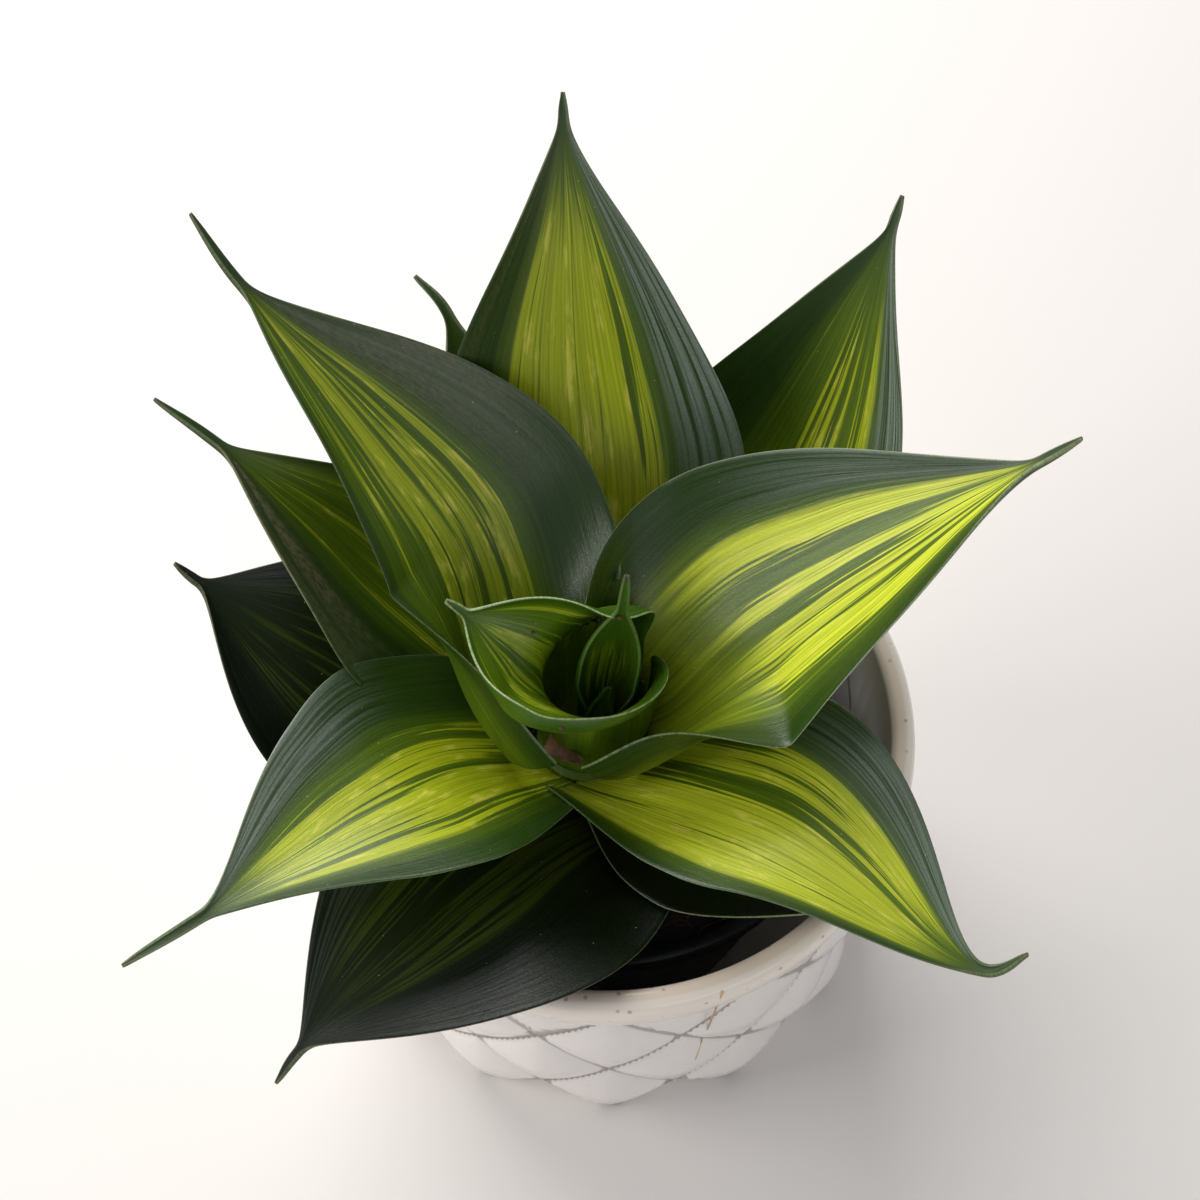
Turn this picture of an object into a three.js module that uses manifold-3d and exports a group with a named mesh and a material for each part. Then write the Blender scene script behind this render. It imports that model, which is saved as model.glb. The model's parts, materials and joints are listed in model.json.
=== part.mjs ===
// A potted bird's nest snake plant: a faceted ceramic pot, the nursery pot inside it,
// its potting mix, and a rosette of broad channelled leaves that clasp one short crown.
// Millimetres, +Z up. The origin is the centre of the ceramic pot's foot, on the surface
// that it stands on, and the plant's best side looks along -Y.
import * as THREE from 'three';
import Module from 'manifold-3d';

const wasm = await Module();
wasm.setup();

// Clearance that touching pieces keep, and the wider one that curved leaves are cut to
const GAP = 0.3;
const LEAF_GAP = 0.4;

// Ceramic pot
const POT_HEIGHT = 74;
const RIM_RADIUS = 57.5;
const RIM_INNER_RADIUS = 53;
const DIAMONDS_ROUND = 12;
const DIAMOND_LEVELS = [59, 43, 27.5, 14, 0];
const GROOVE_RADII = [53.6, 52.5, 51.8, 50.9, 49.8];
const DIAMOND_SWELL = 2.2;
const FOOT_LOBE_DEPTH = 4.8;
const POT_FLOOR = 5;
const POT_FLOOR_RADIUS = 43;

// Radius and height up the smooth band to the rim, across the rim, and down the inner wall
const BAND_PROFILE = [[54, 60], [55.6, 62.5], [56.8, 66], [RIM_RADIUS, 70]];
const RIM_PROFILE = [
  [RIM_RADIUS, POT_HEIGHT - 1.8],
  [RIM_RADIUS - 0.8, POT_HEIGHT - 0.5],
  [RIM_RADIUS - 2.1, POT_HEIGHT],
  [RIM_INNER_RADIUS + 0.6, POT_HEIGHT - 0.2],
  [RIM_INNER_RADIUS, POT_HEIGHT - 1],
];
const INNER_WALL_PROFILE = [[50.5, 45], [47.5, 20], [45.3, 8], [POT_FLOOR_RADIUS, POT_FLOOR]];

// Nursery pot
const NURSERY_BOTTOM = POT_FLOOR + GAP;
const NURSERY_TOP = 63;
const NURSERY_LIP_RADIUS = 44.5;
const NURSERY_LIP_DEPTH = 4;
const NURSERY_SHOULDER_RADIUS = 43;
const NURSERY_FOOT_RADIUS = 31;
const NURSERY_WALL = 1.2;
const NURSERY_EDGE = 0.6;
const DRAIN_HOLES = 6;
const DRAIN_HOLE_RADIUS = 4;
const DRAIN_HOLE_CIRCLE = 20;

// Potting mix
const MIX_TOP = 58;
const MIX_BUMP = 0.8;
const MIX_EDGE_DROP = 2;
const MIX_RING_SHARES = [1, 0.86, 0.7, 0.54, 0.36, 0.18, 0];

// Crown: the short upright stem that all leaves clasp
const CROWN_X = -4;
const CROWN_Y = -3;
const CROWN_BOTTOM = 45;
const CROWN_FLARE_FROM = 61;
const CROWN_TOP = 75;
const CROWN_RADIUS = 8.5;
const CROWN_TOP_RADIUS = 9.5;

// Leaves
const SPINE_HALF_WIDTH = 0.9;
const SPINE_END_SHARE = 0.25;
const MARGIN_THICKNESS = 0.8;
const TIP_DRAW = 1.2;
const OPENING_SHARE = 0.33;
const RIPPLE_PITCH = 37;
const RIPPLE_SLANT = 1.9;

// Facets round each piece and along each leaf
const POT_SIDES = 48;
const MIX_SIDES = 36;
const CROWN_SIDES = 24;
const HOLE_SIDES = 12;
const ACROSS = 8;
const BLADE_STEPS = 14;
const SPINE_STEPS = 3;
const CURVE_SAMPLES = 96;

// Each leaf's midrib runs through hand-placed points: base, belly, shoulder and tip, with the
// stiff spine between the last two. width is across the unrolled blade, widest is where along
// it, base is the clasping foot's share of the width, and taper shapes the run to the spine.
// channel is half the angle that the section curls through, and roll turns the section about
// the midrib, each at the base, the middle and the shoulder, and both keep their base figure
// over the sheath's share of the blade. opening is the share of the blade at which the channel
// reaches its middle figure, where that differs from most leaves. thick is the thickness at the
// midrib at the same three places, and wave is how far the margins ripple. A leaf without a
// heading points from its base to its shoulder. Leaves are listed from the heart outward, and
// each lies outside the ones before it.
const LEAVES = {
  leaf_core: {
    midrib: [[-3, -3.5, 76.5], [-1.8, -3.8, 85], [-0.5, -3.8, 92], [0, -4, 94.5]],
    width: 8, widest: 0.3, taper: 1.9, base: 1, heading: 85, sheath: 0.2,
    channel: [120, 90, 50], roll: [0, 0, 0], thick: [1.2, 1.1, 1], wave: 0,
  },
  leaf_spear: {
    midrib: [[-1.4, 1.5, 76.5], [0.2, 2.2, 97], [2.2, 1.2, 114], [2.9, 2, 124]],
    width: 18, widest: 0.45, taper: 1.9, base: 0.85, heading: 85, sheath: 0.2,
    channel: [140, 105, 50], roll: [0, 0, 0], thick: [1.6, 1.5, 1.2], wave: 0,
  },
  leaf_young_cup: {
    midrib: [[-9.8, -7, 76], [-13, -3, 97], [-25.5, 2.5, 110.5], [-28.5, 3.5, 113]],
    width: 63, widest: 0.42, taper: 1.5, base: 0.8, sheath: 0.34,
    channel: [172, 120, 50], roll: [-62, 4, 8], thick: [1.8, 1.8, 1.2], wave: 0.3,
  },
  leaf_right: {
    midrib: [[6.4, 1.4, 78.5], [10.3, 1, 83], [27.3, 8.8, 100], [71, 13, 143], [77, 13, 150]],
    width: 60, widest: 0.3, taper: 1.5, base: 0.88, sheath: 0.05,
    channel: [124, 38, 35], opening: 0.31, roll: [-14, -10, 0], thick: [2.4, 2.2, 1.4], wave: 0.4,
  },
  leaf_upper_left: {
    midrib: [[-14, 6, 78.5], [-18, 8, 85], [-25.5, 25.5, 105.5], [-64, 50, 143], [-72, 58, 152]],
    width: 49, widest: 0.36, taper: 1.5, base: 1.25, sheath: 0.05,
    channel: [138, 36, 35], roll: [12, 0, 0], thick: [2.4, 2.2, 1.4], wave: 0.4,
  },
  leaf_back_tall: {
    midrib: [[-4.5, 4, 66], [-5, 44, 104], [-8, 68, 165], [-8, 71, 168]],
    width: 62, widest: 0.42, taper: 1.5, base: 0.5, sheath: 0,
    channel: [80, 30, 30], roll: [0, 0, 0], thick: [3, 2.4, 1.4], wave: 0.3,
  },
  leaf_back_right: {
    midrib: [[1, 2, 65], [33.5, 39, 93], [49.7, 62, 144], [51, 65, 148]],
    width: 58, widest: 0.45, taper: 1.6, base: 0.5, sheath: 0,
    channel: [70, 40, 40], roll: [0, 0, 0], thick: [3, 2.4, 1.4], wave: 0.4,
  },
  leaf_front_right: {
    midrib: [[-3, -7.5, 72], [31, -26, 90], [64, -56, 90], [71, -54, 93]],
    width: 46, widest: 0.4, taper: 1.6, base: 0.66, sheath: 0,
    channel: [70, 25, 30], roll: [0, 0, 0], thick: [3, 2.4, 1.4], wave: 0.4,
  },
  leaf_front_left: {
    midrib: [[-12, -5.5, 70.5], [-30, -15.4, 85.5], [-45, -27.5, 93], [-69, -49, 97], [-83, -56, 92]],
    width: 49, widest: 0.4, taper: 1.5, base: 0.66, sheath: 0,
    channel: [58, 25, 30], roll: [0, 0, 0], thick: [3, 2.4, 1.4], wave: 0.4,
  },
  leaf_left: {
    midrib: [[-9.5, 1, 68], [-40, 19, 87], [-69, 31, 121], [-80, 36, 128]],
    width: 44, widest: 0.45, taper: 1.6, base: 0.5, sheath: 0,
    channel: [50, 38, 40], roll: [0, 0, 0], thick: [3, 2.4, 1.4], wave: 0.4,
  },
  leaf_back_left: {
    midrib: [[-7, 3, 63], [-18, 33, 76], [-30, 63, 116], [-36, 69, 120]],
    width: 36, widest: 0.45, taper: 1.6, base: 0.5, sheath: 0,
    channel: [70, 30, 40], roll: [0, 0, 0], thick: [3, 2.2, 1.4], wave: 0.3,
  },
  leaf_front_under: {
    midrib: [[0, -8, 64], [24, -28, 77], [45, -41, 82], [51, -43, 83]],
    width: 36, widest: 0.5, taper: 1.6, base: 0.5, sheath: 0,
    channel: [60, 20, 20], roll: [0, 0, 0], thick: [2.8, 2.2, 1.4], wave: 0.3,
  },
  leaf_front_low: {
    midrib: [[1.5, -12, 62.5], [-23, -35, 77], [-54, -65.5, 77], [-58, -70.5, 74]],
    width: 58, widest: 0.38, taper: 2, base: 0.75, sheath: 0,
    channel: [55, 15, 20], roll: [0, 0, 0], thick: [2.8, 2.2, 1.4], wave: 0.4,
  },
  leaf_low_left: {
    midrib: [[-11, -3.5, 62.5], [-27, -1, 68], [-49, 6.8, 81], [-75, 17.5, 96], [-79, 19, 100]],
    width: 53, widest: 0.5, taper: 2, base: 0.5, sheath: 0,
    channel: [45, 22, 30], roll: [0, 14, 12], thick: [2.8, 2.2, 1.4], wave: 0.4,
  },
};

const radians = THREE.MathUtils.degToRad;
const clamp = THREE.MathUtils.clamp;

// Closed meshes from points and triangles

function indexedGeometry(points, triangles) {
  const geometry = new THREE.BufferGeometry();
  const places = points.flatMap((p) => [p.x, p.y, p.z]);
  geometry.setAttribute('position', new THREE.Float32BufferAttribute(places, 3));
  geometry.setIndex(triangles.flat());
  return geometry;
}

function solidFrom(geometry) {
  return new wasm.Manifold(new wasm.Mesh({
    numProp: 3,
    vertProperties: new Float32Array(geometry.attributes.position.array),
    triVerts: new Uint32Array(geometry.index.array),
  }));
}

function geometryFrom(solid) {
  const mesh = solid.getMesh();
  const geometry = new THREE.BufferGeometry();
  const places = new Float32Array(mesh.vertProperties);
  geometry.setAttribute('position', new THREE.BufferAttribute(places, 3));
  geometry.setIndex(Array.from(mesh.triVerts));
  return geometry;
}

// The body with the most material, without loose scraps
function largestBody(solid) {
  const bodies = solid.decompose();
  return bodies.reduce((best, body) => (body.volume() > best.volume() ? body : best));
}

// A closed skin over rings of points, from a lower middle point to an upper one. Neighbouring
// rings have the same number of points, or the upper one has twice as many.
function ringSkin(startPoint, rings, endPoint, slant = () => true) {
  const points = [startPoint];
  const starts = rings.map((ring) => {
    const start = points.length;
    points.push(...ring);
    return start;
  });
  points.push(endPoint);
  const triangles = [];
  const count = (k) => rings[k].length;
  const at = (k, j) => starts[k] + (j % count(k));
  for (let j = 0; j < count(0); j += 1) {
    triangles.push([0, at(0, j + 1), at(0, j)]);
  }
  for (let k = 0; k + 1 < rings.length; k += 1) {
    for (let j = 0; j < count(k); j += 1) {
      if (count(k + 1) === 2 * count(k)) {
        triangles.push([at(k, j), at(k + 1, 2 * j + 1), at(k + 1, 2 * j)]);
        triangles.push([at(k, j), at(k, j + 1), at(k + 1, 2 * j + 1)]);
        triangles.push([at(k, j + 1), at(k + 1, 2 * j + 2), at(k + 1, 2 * j + 1)]);
      } else if (slant(k, j)) {
        triangles.push([at(k, j), at(k, j + 1), at(k + 1, j + 1)]);
        triangles.push([at(k, j), at(k + 1, j + 1), at(k + 1, j)]);
      } else {
        triangles.push([at(k, j), at(k, j + 1), at(k + 1, j)]);
        triangles.push([at(k, j + 1), at(k + 1, j + 1), at(k + 1, j)]);
      }
    }
  }
  const last = rings.length - 1;
  for (let j = 0; j < count(last); j += 1) {
    triangles.push([points.length - 1, at(last, j), at(last, j + 1)]);
  }
  return indexedGeometry(points, triangles);
}

function circle(radius, z, count, x = 0, y = 0) {
  return Array.from({ length: count }, (_, j) => {
    const angle = (2 * Math.PI * j) / count - Math.PI / 2;
    return new THREE.Vector3(x + radius * Math.cos(angle), y + radius * Math.sin(angle), z);
  });
}

// Ceramic pot: rows of diamonds swell between grooves that cross where level plus step is even
function ceramicPot() {
  const steps = 2 * DIAMONDS_ROUND;
  const foot = DIAMOND_LEVELS.length - 1;
  const level = (k) => circle(1, 0, steps).map((unit, j) => {
    const crossing = (k + j) % 2 === 0;
    let radius = GROOVE_RADII[k];
    if (!crossing && k === foot) {
      radius -= FOOT_LOBE_DEPTH;
    } else if (!crossing && k > 0) {
      radius += DIAMOND_SWELL;
    }
    return new THREE.Vector3(radius * unit.x, radius * unit.y, DIAMOND_LEVELS[k]);
  });
  const walls = DIAMOND_LEVELS.map((_, k) => level(foot - k));
  const band = [...BAND_PROFILE, ...RIM_PROFILE, ...INNER_WALL_PROFILE];
  const rings = [...walls, ...band.map(([radius, z]) => circle(radius, z, POT_SIDES))];
  const crossingFirst = (k, j) => k >= foot || (foot - k + j) % 2 === 0;
  return ringSkin(
    new THREE.Vector3(0, 0, 0),
    rings,
    new THREE.Vector3(0, 0, POT_FLOOR),
    crossingFirst,
  );
}

// Inner wall of the nursery pot at a height
function nurseryInnerRadius(z) {
  const share = (z - NURSERY_BOTTOM) / (NURSERY_TOP - NURSERY_LIP_DEPTH - NURSERY_BOTTOM);
  const outer = THREE.MathUtils.lerp(NURSERY_FOOT_RADIUS, NURSERY_SHOULDER_RADIUS, clamp(share, 0, 1));
  return outer - NURSERY_WALL;
}

function nurseryPot() {
  const lipBottom = NURSERY_TOP - NURSERY_LIP_DEPTH;
  const floorTop = NURSERY_BOTTOM + NURSERY_WALL;
  const profile = [
    [NURSERY_FOOT_RADIUS, NURSERY_BOTTOM],
    [NURSERY_SHOULDER_RADIUS, lipBottom],
    [NURSERY_LIP_RADIUS, lipBottom],
    [NURSERY_LIP_RADIUS, NURSERY_TOP - NURSERY_EDGE],
    [NURSERY_LIP_RADIUS - NURSERY_EDGE, NURSERY_TOP],
    [nurseryInnerRadius(lipBottom) + NURSERY_EDGE, NURSERY_TOP],
    [nurseryInnerRadius(lipBottom), NURSERY_TOP - NURSERY_EDGE],
    [nurseryInnerRadius(lipBottom), lipBottom],
    [nurseryInnerRadius(floorTop), floorTop],
  ];
  const rings = profile.map(([radius, z]) => circle(radius, z, POT_SIDES));
  let pot = solidFrom(ringSkin(
    new THREE.Vector3(0, 0, NURSERY_BOTTOM),
    rings,
    new THREE.Vector3(0, 0, floorTop),
  ));
  for (let hole = 0; hole < DRAIN_HOLES; hole += 1) {
    const angle = (2 * Math.PI * (hole + 0.5)) / DRAIN_HOLES;
    const x = DRAIN_HOLE_CIRCLE * Math.cos(angle);
    const y = DRAIN_HOLE_CIRCLE * Math.sin(angle);
    const below = NURSERY_BOTTOM - 1;
    const above = floorTop + 1;
    const drainHole = ringSkin(
      new THREE.Vector3(x, y, below),
      [below, above].map((z) => circle(DRAIN_HOLE_RADIUS, z, HOLE_SIDES, x, y)),
      new THREE.Vector3(x, y, above),
    );
    pot = pot.subtract(solidFrom(drainHole));
  }
  return geometryFrom(pot);
}

// Height of the potting mix, in lumps of about 5 mm
function mixHeight(x, y) {
  const broad = Math.sin(0.61 * x + 1.3) * Math.cos(0.53 * y - 0.4);
  const fine = 0.7 * Math.sin(0.93 * x - 1.17 * y + 2.1);
  return MIX_TOP + MIX_BUMP * (broad + fine);
}

// Potting mix: fills the nursery pot, with a plain hole for the crown
function pottingMix() {
  const bottom = NURSERY_BOTTOM + NURSERY_WALL + GAP;
  const sideTop = MIX_TOP - MIX_EDGE_DROP;
  const edge = nurseryInnerRadius(sideTop) - GAP;
  const holeRadius = CROWN_RADIUS + GAP;
  const hole = circle(holeRadius, 0, MIX_SIDES, CROWN_X, CROWN_Y);
  const rim = circle(edge, 0, MIX_SIDES);
  const topRings = MIX_RING_SHARES.map((share) => rim.map((outer, j) => {
    const point = hole[j].clone().lerp(outer, share);
    point.z = mixHeight(point.x, point.y);
    return point;
  }));
  const holeFloor = CROWN_BOTTOM - GAP;
  return ringSkin(
    new THREE.Vector3(0, 0, bottom),
    [
      circle(nurseryInnerRadius(bottom) - GAP, bottom, MIX_SIDES),
      circle(edge, sideTop, MIX_SIDES),
      ...topRings,
      circle(holeRadius, holeFloor, MIX_SIDES, CROWN_X, CROWN_Y),
    ],
    new THREE.Vector3(CROWN_X, CROWN_Y, holeFloor),
  );
}

// Crown, also made larger all round by grow to cut its clearance out of the leaves
function crown(grow = 0) {
  const profile = [
    [CROWN_RADIUS - 1.5, CROWN_BOTTOM - grow],
    [CROWN_RADIUS, CROWN_BOTTOM + 3],
    [CROWN_RADIUS, CROWN_FLARE_FROM],
    [CROWN_TOP_RADIUS, CROWN_TOP - 1],
    [CROWN_TOP_RADIUS - 1, CROWN_TOP + grow],
  ];
  return ringSkin(
    new THREE.Vector3(CROWN_X, CROWN_Y, CROWN_BOTTOM - grow),
    profile.map(([radius, z]) => circle(radius + grow, z, CROWN_SIDES, CROWN_X, CROWN_Y)),
    new THREE.Vector3(CROWN_X, CROWN_Y, CROWN_TOP + grow),
  );
}

// A value that passes smoothly through its base, middle and shoulder figures
function alongLeaf([base, middle, shoulder], share, middleShare = 0.5) {
  const x = clamp(share, 0, 1);
  return x < middleShare
    ? THREE.MathUtils.lerp(base, middle, THREE.MathUtils.smoothstep(x, 0, middleShare))
    : THREE.MathUtils.lerp(middle, shoulder, THREE.MathUtils.smoothstep(x, middleShare, 1));
}

// Points spaced evenly along a curve between two of its parameters
function evenPoints(curve, from, to, steps) {
  const samples = Array.from({ length: CURVE_SAMPLES + 1 }, (_, i) => {
    return curve.getPoint(THREE.MathUtils.lerp(from, to, i / CURVE_SAMPLES));
  });
  const lengths = [0];
  for (let i = 1; i < samples.length; i += 1) {
    lengths.push(lengths[i - 1] + samples[i].distanceTo(samples[i - 1]));
  }
  const total = lengths.at(-1);
  const points = [samples[0]];
  let i = 1;
  for (let step = 1; step < steps; step += 1) {
    const wanted = (total * step) / steps;
    while (lengths[i] < wanted) {
      i += 1;
    }
    const share = (wanted - lengths[i - 1]) / (lengths[i] - lengths[i - 1]);
    points.push(samples[i - 1].clone().lerp(samples[i], share));
  }
  points.push(samples.at(-1));
  return { points, total };
}

// Stations along the midrib, each with its place, its share of the blade and its two directions
function leafStations(leaf, grow) {
  const ribPoints = leaf.midrib.map((p) => new THREE.Vector3(...p));
  const curve = new THREE.CatmullRomCurve3(ribPoints, false, 'centripetal');
  const shoulder = (ribPoints.length - 2) / (ribPoints.length - 1);
  const blade = evenPoints(curve, 0, shoulder, BLADE_STEPS);
  const spine = evenPoints(curve, shoulder, 1, SPINE_STEPS);
  const centres = [...blade.points, ...spine.points.slice(1)];
  const foot = ribPoints[0];
  const shoulderPoint = ribPoints.at(-2);
  const heading = leaf.heading === undefined
    ? Math.atan2(shoulderPoint.y - foot.y, shoulderPoint.x - foot.x)
    : radians(leaf.heading);
  const level = new THREE.Vector3(Math.sin(heading), -Math.cos(heading), 0);
  return centres.map((centre, i) => {
    const share = i <= BLADE_STEPS ? i / BLADE_STEPS : 1;
    const spineShare = Math.max(0, i - BLADE_STEPS) / SPINE_STEPS;
    const before = centres[Math.max(i - 1, 0)];
    const after = centres[Math.min(i + 1, centres.length - 1)];
    const forward = after.clone().sub(before).normalize();
    const side = level.clone().addScaledVector(forward, -level.dot(forward)).normalize();
    const up = side.clone().cross(forward);
    const bladeShare = Math.max(share - leaf.sheath, 0) / (1 - leaf.sheath);
    const roll = radians(alongLeaf(leaf.roll, bladeShare));
    const rolledSide = side.clone().multiplyScalar(Math.cos(roll)).addScaledVector(up, Math.sin(roll));
    const rolledUp = up.clone().multiplyScalar(Math.cos(roll)).addScaledVector(side, -Math.sin(roll));
    let endShift = 0;
    if (i === 0) {
      endShift = -grow;
    } else if (i === centres.length - 1) {
      endShift = grow;
    }
    return {
      centre: centre.clone().addScaledVector(forward, endShift),
      share,
      bladeShare,
      spineShare,
      side: rolledSide,
      up: rolledUp,
      distance: share * blade.total,
    };
  });
}

// Half the width of the unrolled blade at a station
function halfWidth(leaf, { share, spineShare }) {
  const rise = leaf.base + (1 - leaf.base) * Math.sin((Math.PI / 2) * Math.min(share / leaf.widest, 1));
  const past = Math.max(share - leaf.widest, 0) / (1 - leaf.widest);
  const fall = (1 - past ** leaf.taper) ** TIP_DRAW;
  const outline = share < leaf.widest ? rise : fall;
  const spine = SPINE_HALF_WIDTH * (1 - (1 - SPINE_END_SHARE) * spineShare ** 2);
  return Math.hypot((leaf.width / 2) * outline, spine);
}

// One leaf: a channelled, tapering blade with an upper and a lower face split alike. Each leaf's
// width also shifts its ripple, so that no two ripple together. A swollen leaf grows by the same
// distance on both faces and past both margins.
function leafGeometry(leaf, grow = 0) {
  const stations = leafStations(leaf, grow);
  const points = [];
  for (const station of stations) {
    const half = halfWidth(leaf, station);
    const curl = radians(alongLeaf(leaf.channel, station.bladeShare, leaf.opening ?? OPENING_SHARE));
    const radius = half / curl;
    const reach = (half + grow) / half;
    const middle = alongLeaf(leaf.thick, station.share) * (1 - 0.5 * station.spineShare ** 2);
    const edge = Math.min(MARGIN_THICKNESS, middle);
    const upper = [];
    const lower = [];
    for (let j = 0; j <= ACROSS; j += 1) {
      const q = (2 * j) / ACROSS - 1;
      const angle = curl * q * reach;
      const ripple = leaf.wave * Math.abs(q) ** 3 * (1 - station.spineShare)
        * Math.sin((2 * Math.PI * station.distance) / RIPPLE_PITCH + RIPPLE_SLANT * q + leaf.width);
      const inward = station.up.clone().multiplyScalar(Math.cos(angle))
        .addScaledVector(station.side, -Math.sin(angle));
      const point = station.centre.clone()
        .addScaledVector(station.side, radius * Math.sin(angle))
        .addScaledVector(station.up, radius * (1 - Math.cos(angle)))
        .addScaledVector(inward, ripple);
      const thickness = THREE.MathUtils.lerp(middle, edge, q * q);
      upper.push(point.clone().addScaledVector(inward, grow));
      lower.push(point.clone().addScaledVector(inward, -thickness - grow));
    }
    points.push(...upper, ...lower);
  }
  const row = ACROSS + 1;
  const top = (i, j) => i * 2 * row + j;
  const under = (i, j) => i * 2 * row + row + j;
  const last = stations.length - 1;
  const triangles = [];
  const quad = (a, b, c, d) => triangles.push([a, b, c], [a, c, d]);
  for (let i = 0; i < last; i += 1) {
    for (let j = 0; j < ACROSS; j += 1) {
      quad(top(i, j), top(i, j + 1), top(i + 1, j + 1), top(i + 1, j));
      triangles.push([under(i, j), under(i + 1, j + 1), under(i, j + 1)]);
      triangles.push([under(i, j), under(i + 1, j), under(i + 1, j + 1)]);
    }
    quad(top(i, 0), top(i + 1, 0), under(i + 1, 0), under(i, 0));
    quad(top(i, ACROSS), under(i, ACROSS), under(i + 1, ACROSS), top(i + 1, ACROSS));
  }
  for (let j = 0; j < ACROSS; j += 1) {
    quad(top(0, j), under(0, j), under(0, j + 1), top(0, j + 1));
    quad(top(last, j), top(last, j + 1), under(last, j + 1), under(last, j));
  }
  return indexedGeometry(points, triangles);
}

// All leaves, each cut clear of the crown and of the leaves nearer the heart
function leafSolids() {
  const keepClear = [solidFrom(crown(LEAF_GAP))];
  const solids = {};
  for (const [name, leaf] of Object.entries(LEAVES)) {
    let solid = solidFrom(leafGeometry(leaf));
    for (const neighbour of keepClear) {
      solid = solid.subtract(neighbour);
    }
    solids[name] = largestBody(solid);
    keepClear.push(solidFrom(leafGeometry(leaf, LEAF_GAP)));
  }
  return solids;
}

function material(color, roughness) {
  return new THREE.MeshStandardMaterial({ color, roughness, metalness: 0 });
}

function piece(name, geometry, look) {
  const mesh = new THREE.Mesh(geometry, look);
  mesh.name = name;
  return mesh;
}

const glaze = material('#efece6', 0.25);
const blackPlastic = material('#1b1d20', 0.45);
const coir = material('#4a2f20', 0.95);
const crownGreen = material('#5d7a1e', 0.6);
const oldLeaf = material('#35591a', 0.4);
const youngLeaf = material('#5d8c1d', 0.4);
const YOUNG = ['leaf_core', 'leaf_spear', 'leaf_young_cup'];

const plant = new THREE.Group();
plant.add(piece('ceramic_pot', ceramicPot(), glaze));
plant.add(piece('nursery_pot', nurseryPot(), blackPlastic));
plant.add(piece('potting_mix', pottingMix(), coir));
plant.add(piece('crown_stem', crown(), crownGreen));
for (const [name, solid] of Object.entries(leafSolids())) {
  plant.add(piece(name, geometryFrom(solid), YOUNG.includes(name) ? youngLeaf : oldLeaf));
}

export default plant;
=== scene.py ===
"""A potted bird's nest snake plant: white pot with raised diamonds, black nursery pot, coir mix
and a rosette of broad waxy leaves with yellow-green stripes. Metres, in the CAD model's frame."""

import json
import math
import random

import bpy
import numpy as np
from mathutils import Matrix, Vector
from mathutils import noise as cloud

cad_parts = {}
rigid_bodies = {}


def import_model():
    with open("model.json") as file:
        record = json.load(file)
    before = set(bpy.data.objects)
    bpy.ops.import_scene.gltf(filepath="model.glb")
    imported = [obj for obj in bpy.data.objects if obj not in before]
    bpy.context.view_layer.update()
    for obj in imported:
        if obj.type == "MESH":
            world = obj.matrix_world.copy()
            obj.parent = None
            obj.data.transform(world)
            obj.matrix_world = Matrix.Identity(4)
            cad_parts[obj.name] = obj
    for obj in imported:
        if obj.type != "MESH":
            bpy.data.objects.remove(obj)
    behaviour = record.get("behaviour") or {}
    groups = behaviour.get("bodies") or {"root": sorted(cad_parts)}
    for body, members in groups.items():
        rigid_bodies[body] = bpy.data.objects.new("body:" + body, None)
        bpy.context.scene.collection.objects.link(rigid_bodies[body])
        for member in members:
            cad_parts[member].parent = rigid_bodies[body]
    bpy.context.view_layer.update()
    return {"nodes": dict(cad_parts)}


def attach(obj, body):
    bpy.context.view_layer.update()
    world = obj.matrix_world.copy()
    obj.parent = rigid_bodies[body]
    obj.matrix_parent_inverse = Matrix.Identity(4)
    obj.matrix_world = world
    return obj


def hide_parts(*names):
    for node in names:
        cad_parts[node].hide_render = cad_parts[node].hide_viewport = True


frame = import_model()
MM = 0.001

# Camera, light and floor

CAMERA_PLACE = Vector((-0.00168, -0.21438, 0.49063))
CAMERA_TILT = math.radians(30)
LENS = 75
SENSOR = 36
PHOTO_SIDE = 1200


def link(thing):
    bpy.context.scene.collection.objects.link(thing)
    return thing


def area_light(name, place, target, size, power, colour):
    data = bpy.data.lights.new(name, "AREA")
    data.shape = "RECTANGLE"
    data.size, data.size_y = size
    data.energy = power
    data.color = colour
    lamp = link(bpy.data.objects.new(name, data))
    lamp.location = place
    lamp.rotation_euler = (Vector(target) - Vector(place)).to_track_quat("-Z", "Y").to_euler()
    return lamp


camera_data = bpy.data.cameras.new("photo_camera")
camera_data.lens = LENS
camera_data.sensor_width = SENSOR
camera_data.clip_start = 0.01
camera_data.clip_end = 20
camera = link(bpy.data.objects.new("photo_camera", camera_data))
camera.location = CAMERA_PLACE
camera.rotation_euler = (CAMERA_TILT, 0, 0)
bpy.context.scene.camera = camera
bpy.context.scene.view_settings.view_transform = "Standard"

# Soft lights: a window behind the plant, a second one on its left and a faint fill in front
area_light("window_light", (-0.35, 0.75, 0.75), (0, 0, 0.09), (0.9, 0.6), 11, (1, 0.98, 0.95))
area_light("left_light", (-0.9, -0.1, 0.6), (0, 0, 0.08), (0.6, 0.6), 5, (1, 0.97, 0.94))
area_light("front_fill", (0.5, -0.9, 0.45), (0, 0, 0.05), (0.8, 0.5), 1.7, (1, 0.98, 0.96))

world = bpy.data.worlds.new("pale_studio")
bpy.context.scene.world = world
world.use_nodes = True
world.node_tree.nodes["Background"].inputs["Color"].default_value = (0.93, 0.95, 1, 1)
world.node_tree.nodes["Background"].inputs["Strength"].default_value = 0.35


# Shader nodes

def add_node(tree, kind, inputs=None, **settings):
    """A node with its settings, and its inputs linked to sockets or set to values"""
    node = tree.nodes.new(kind)
    for key, value in settings.items():
        setattr(node, key, value)
    for key, value in (inputs or {}).items():
        if isinstance(value, bpy.types.NodeSocket):
            tree.links.new(value, node.inputs[key])
        else:
            node.inputs[key].default_value = value
    return node


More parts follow.
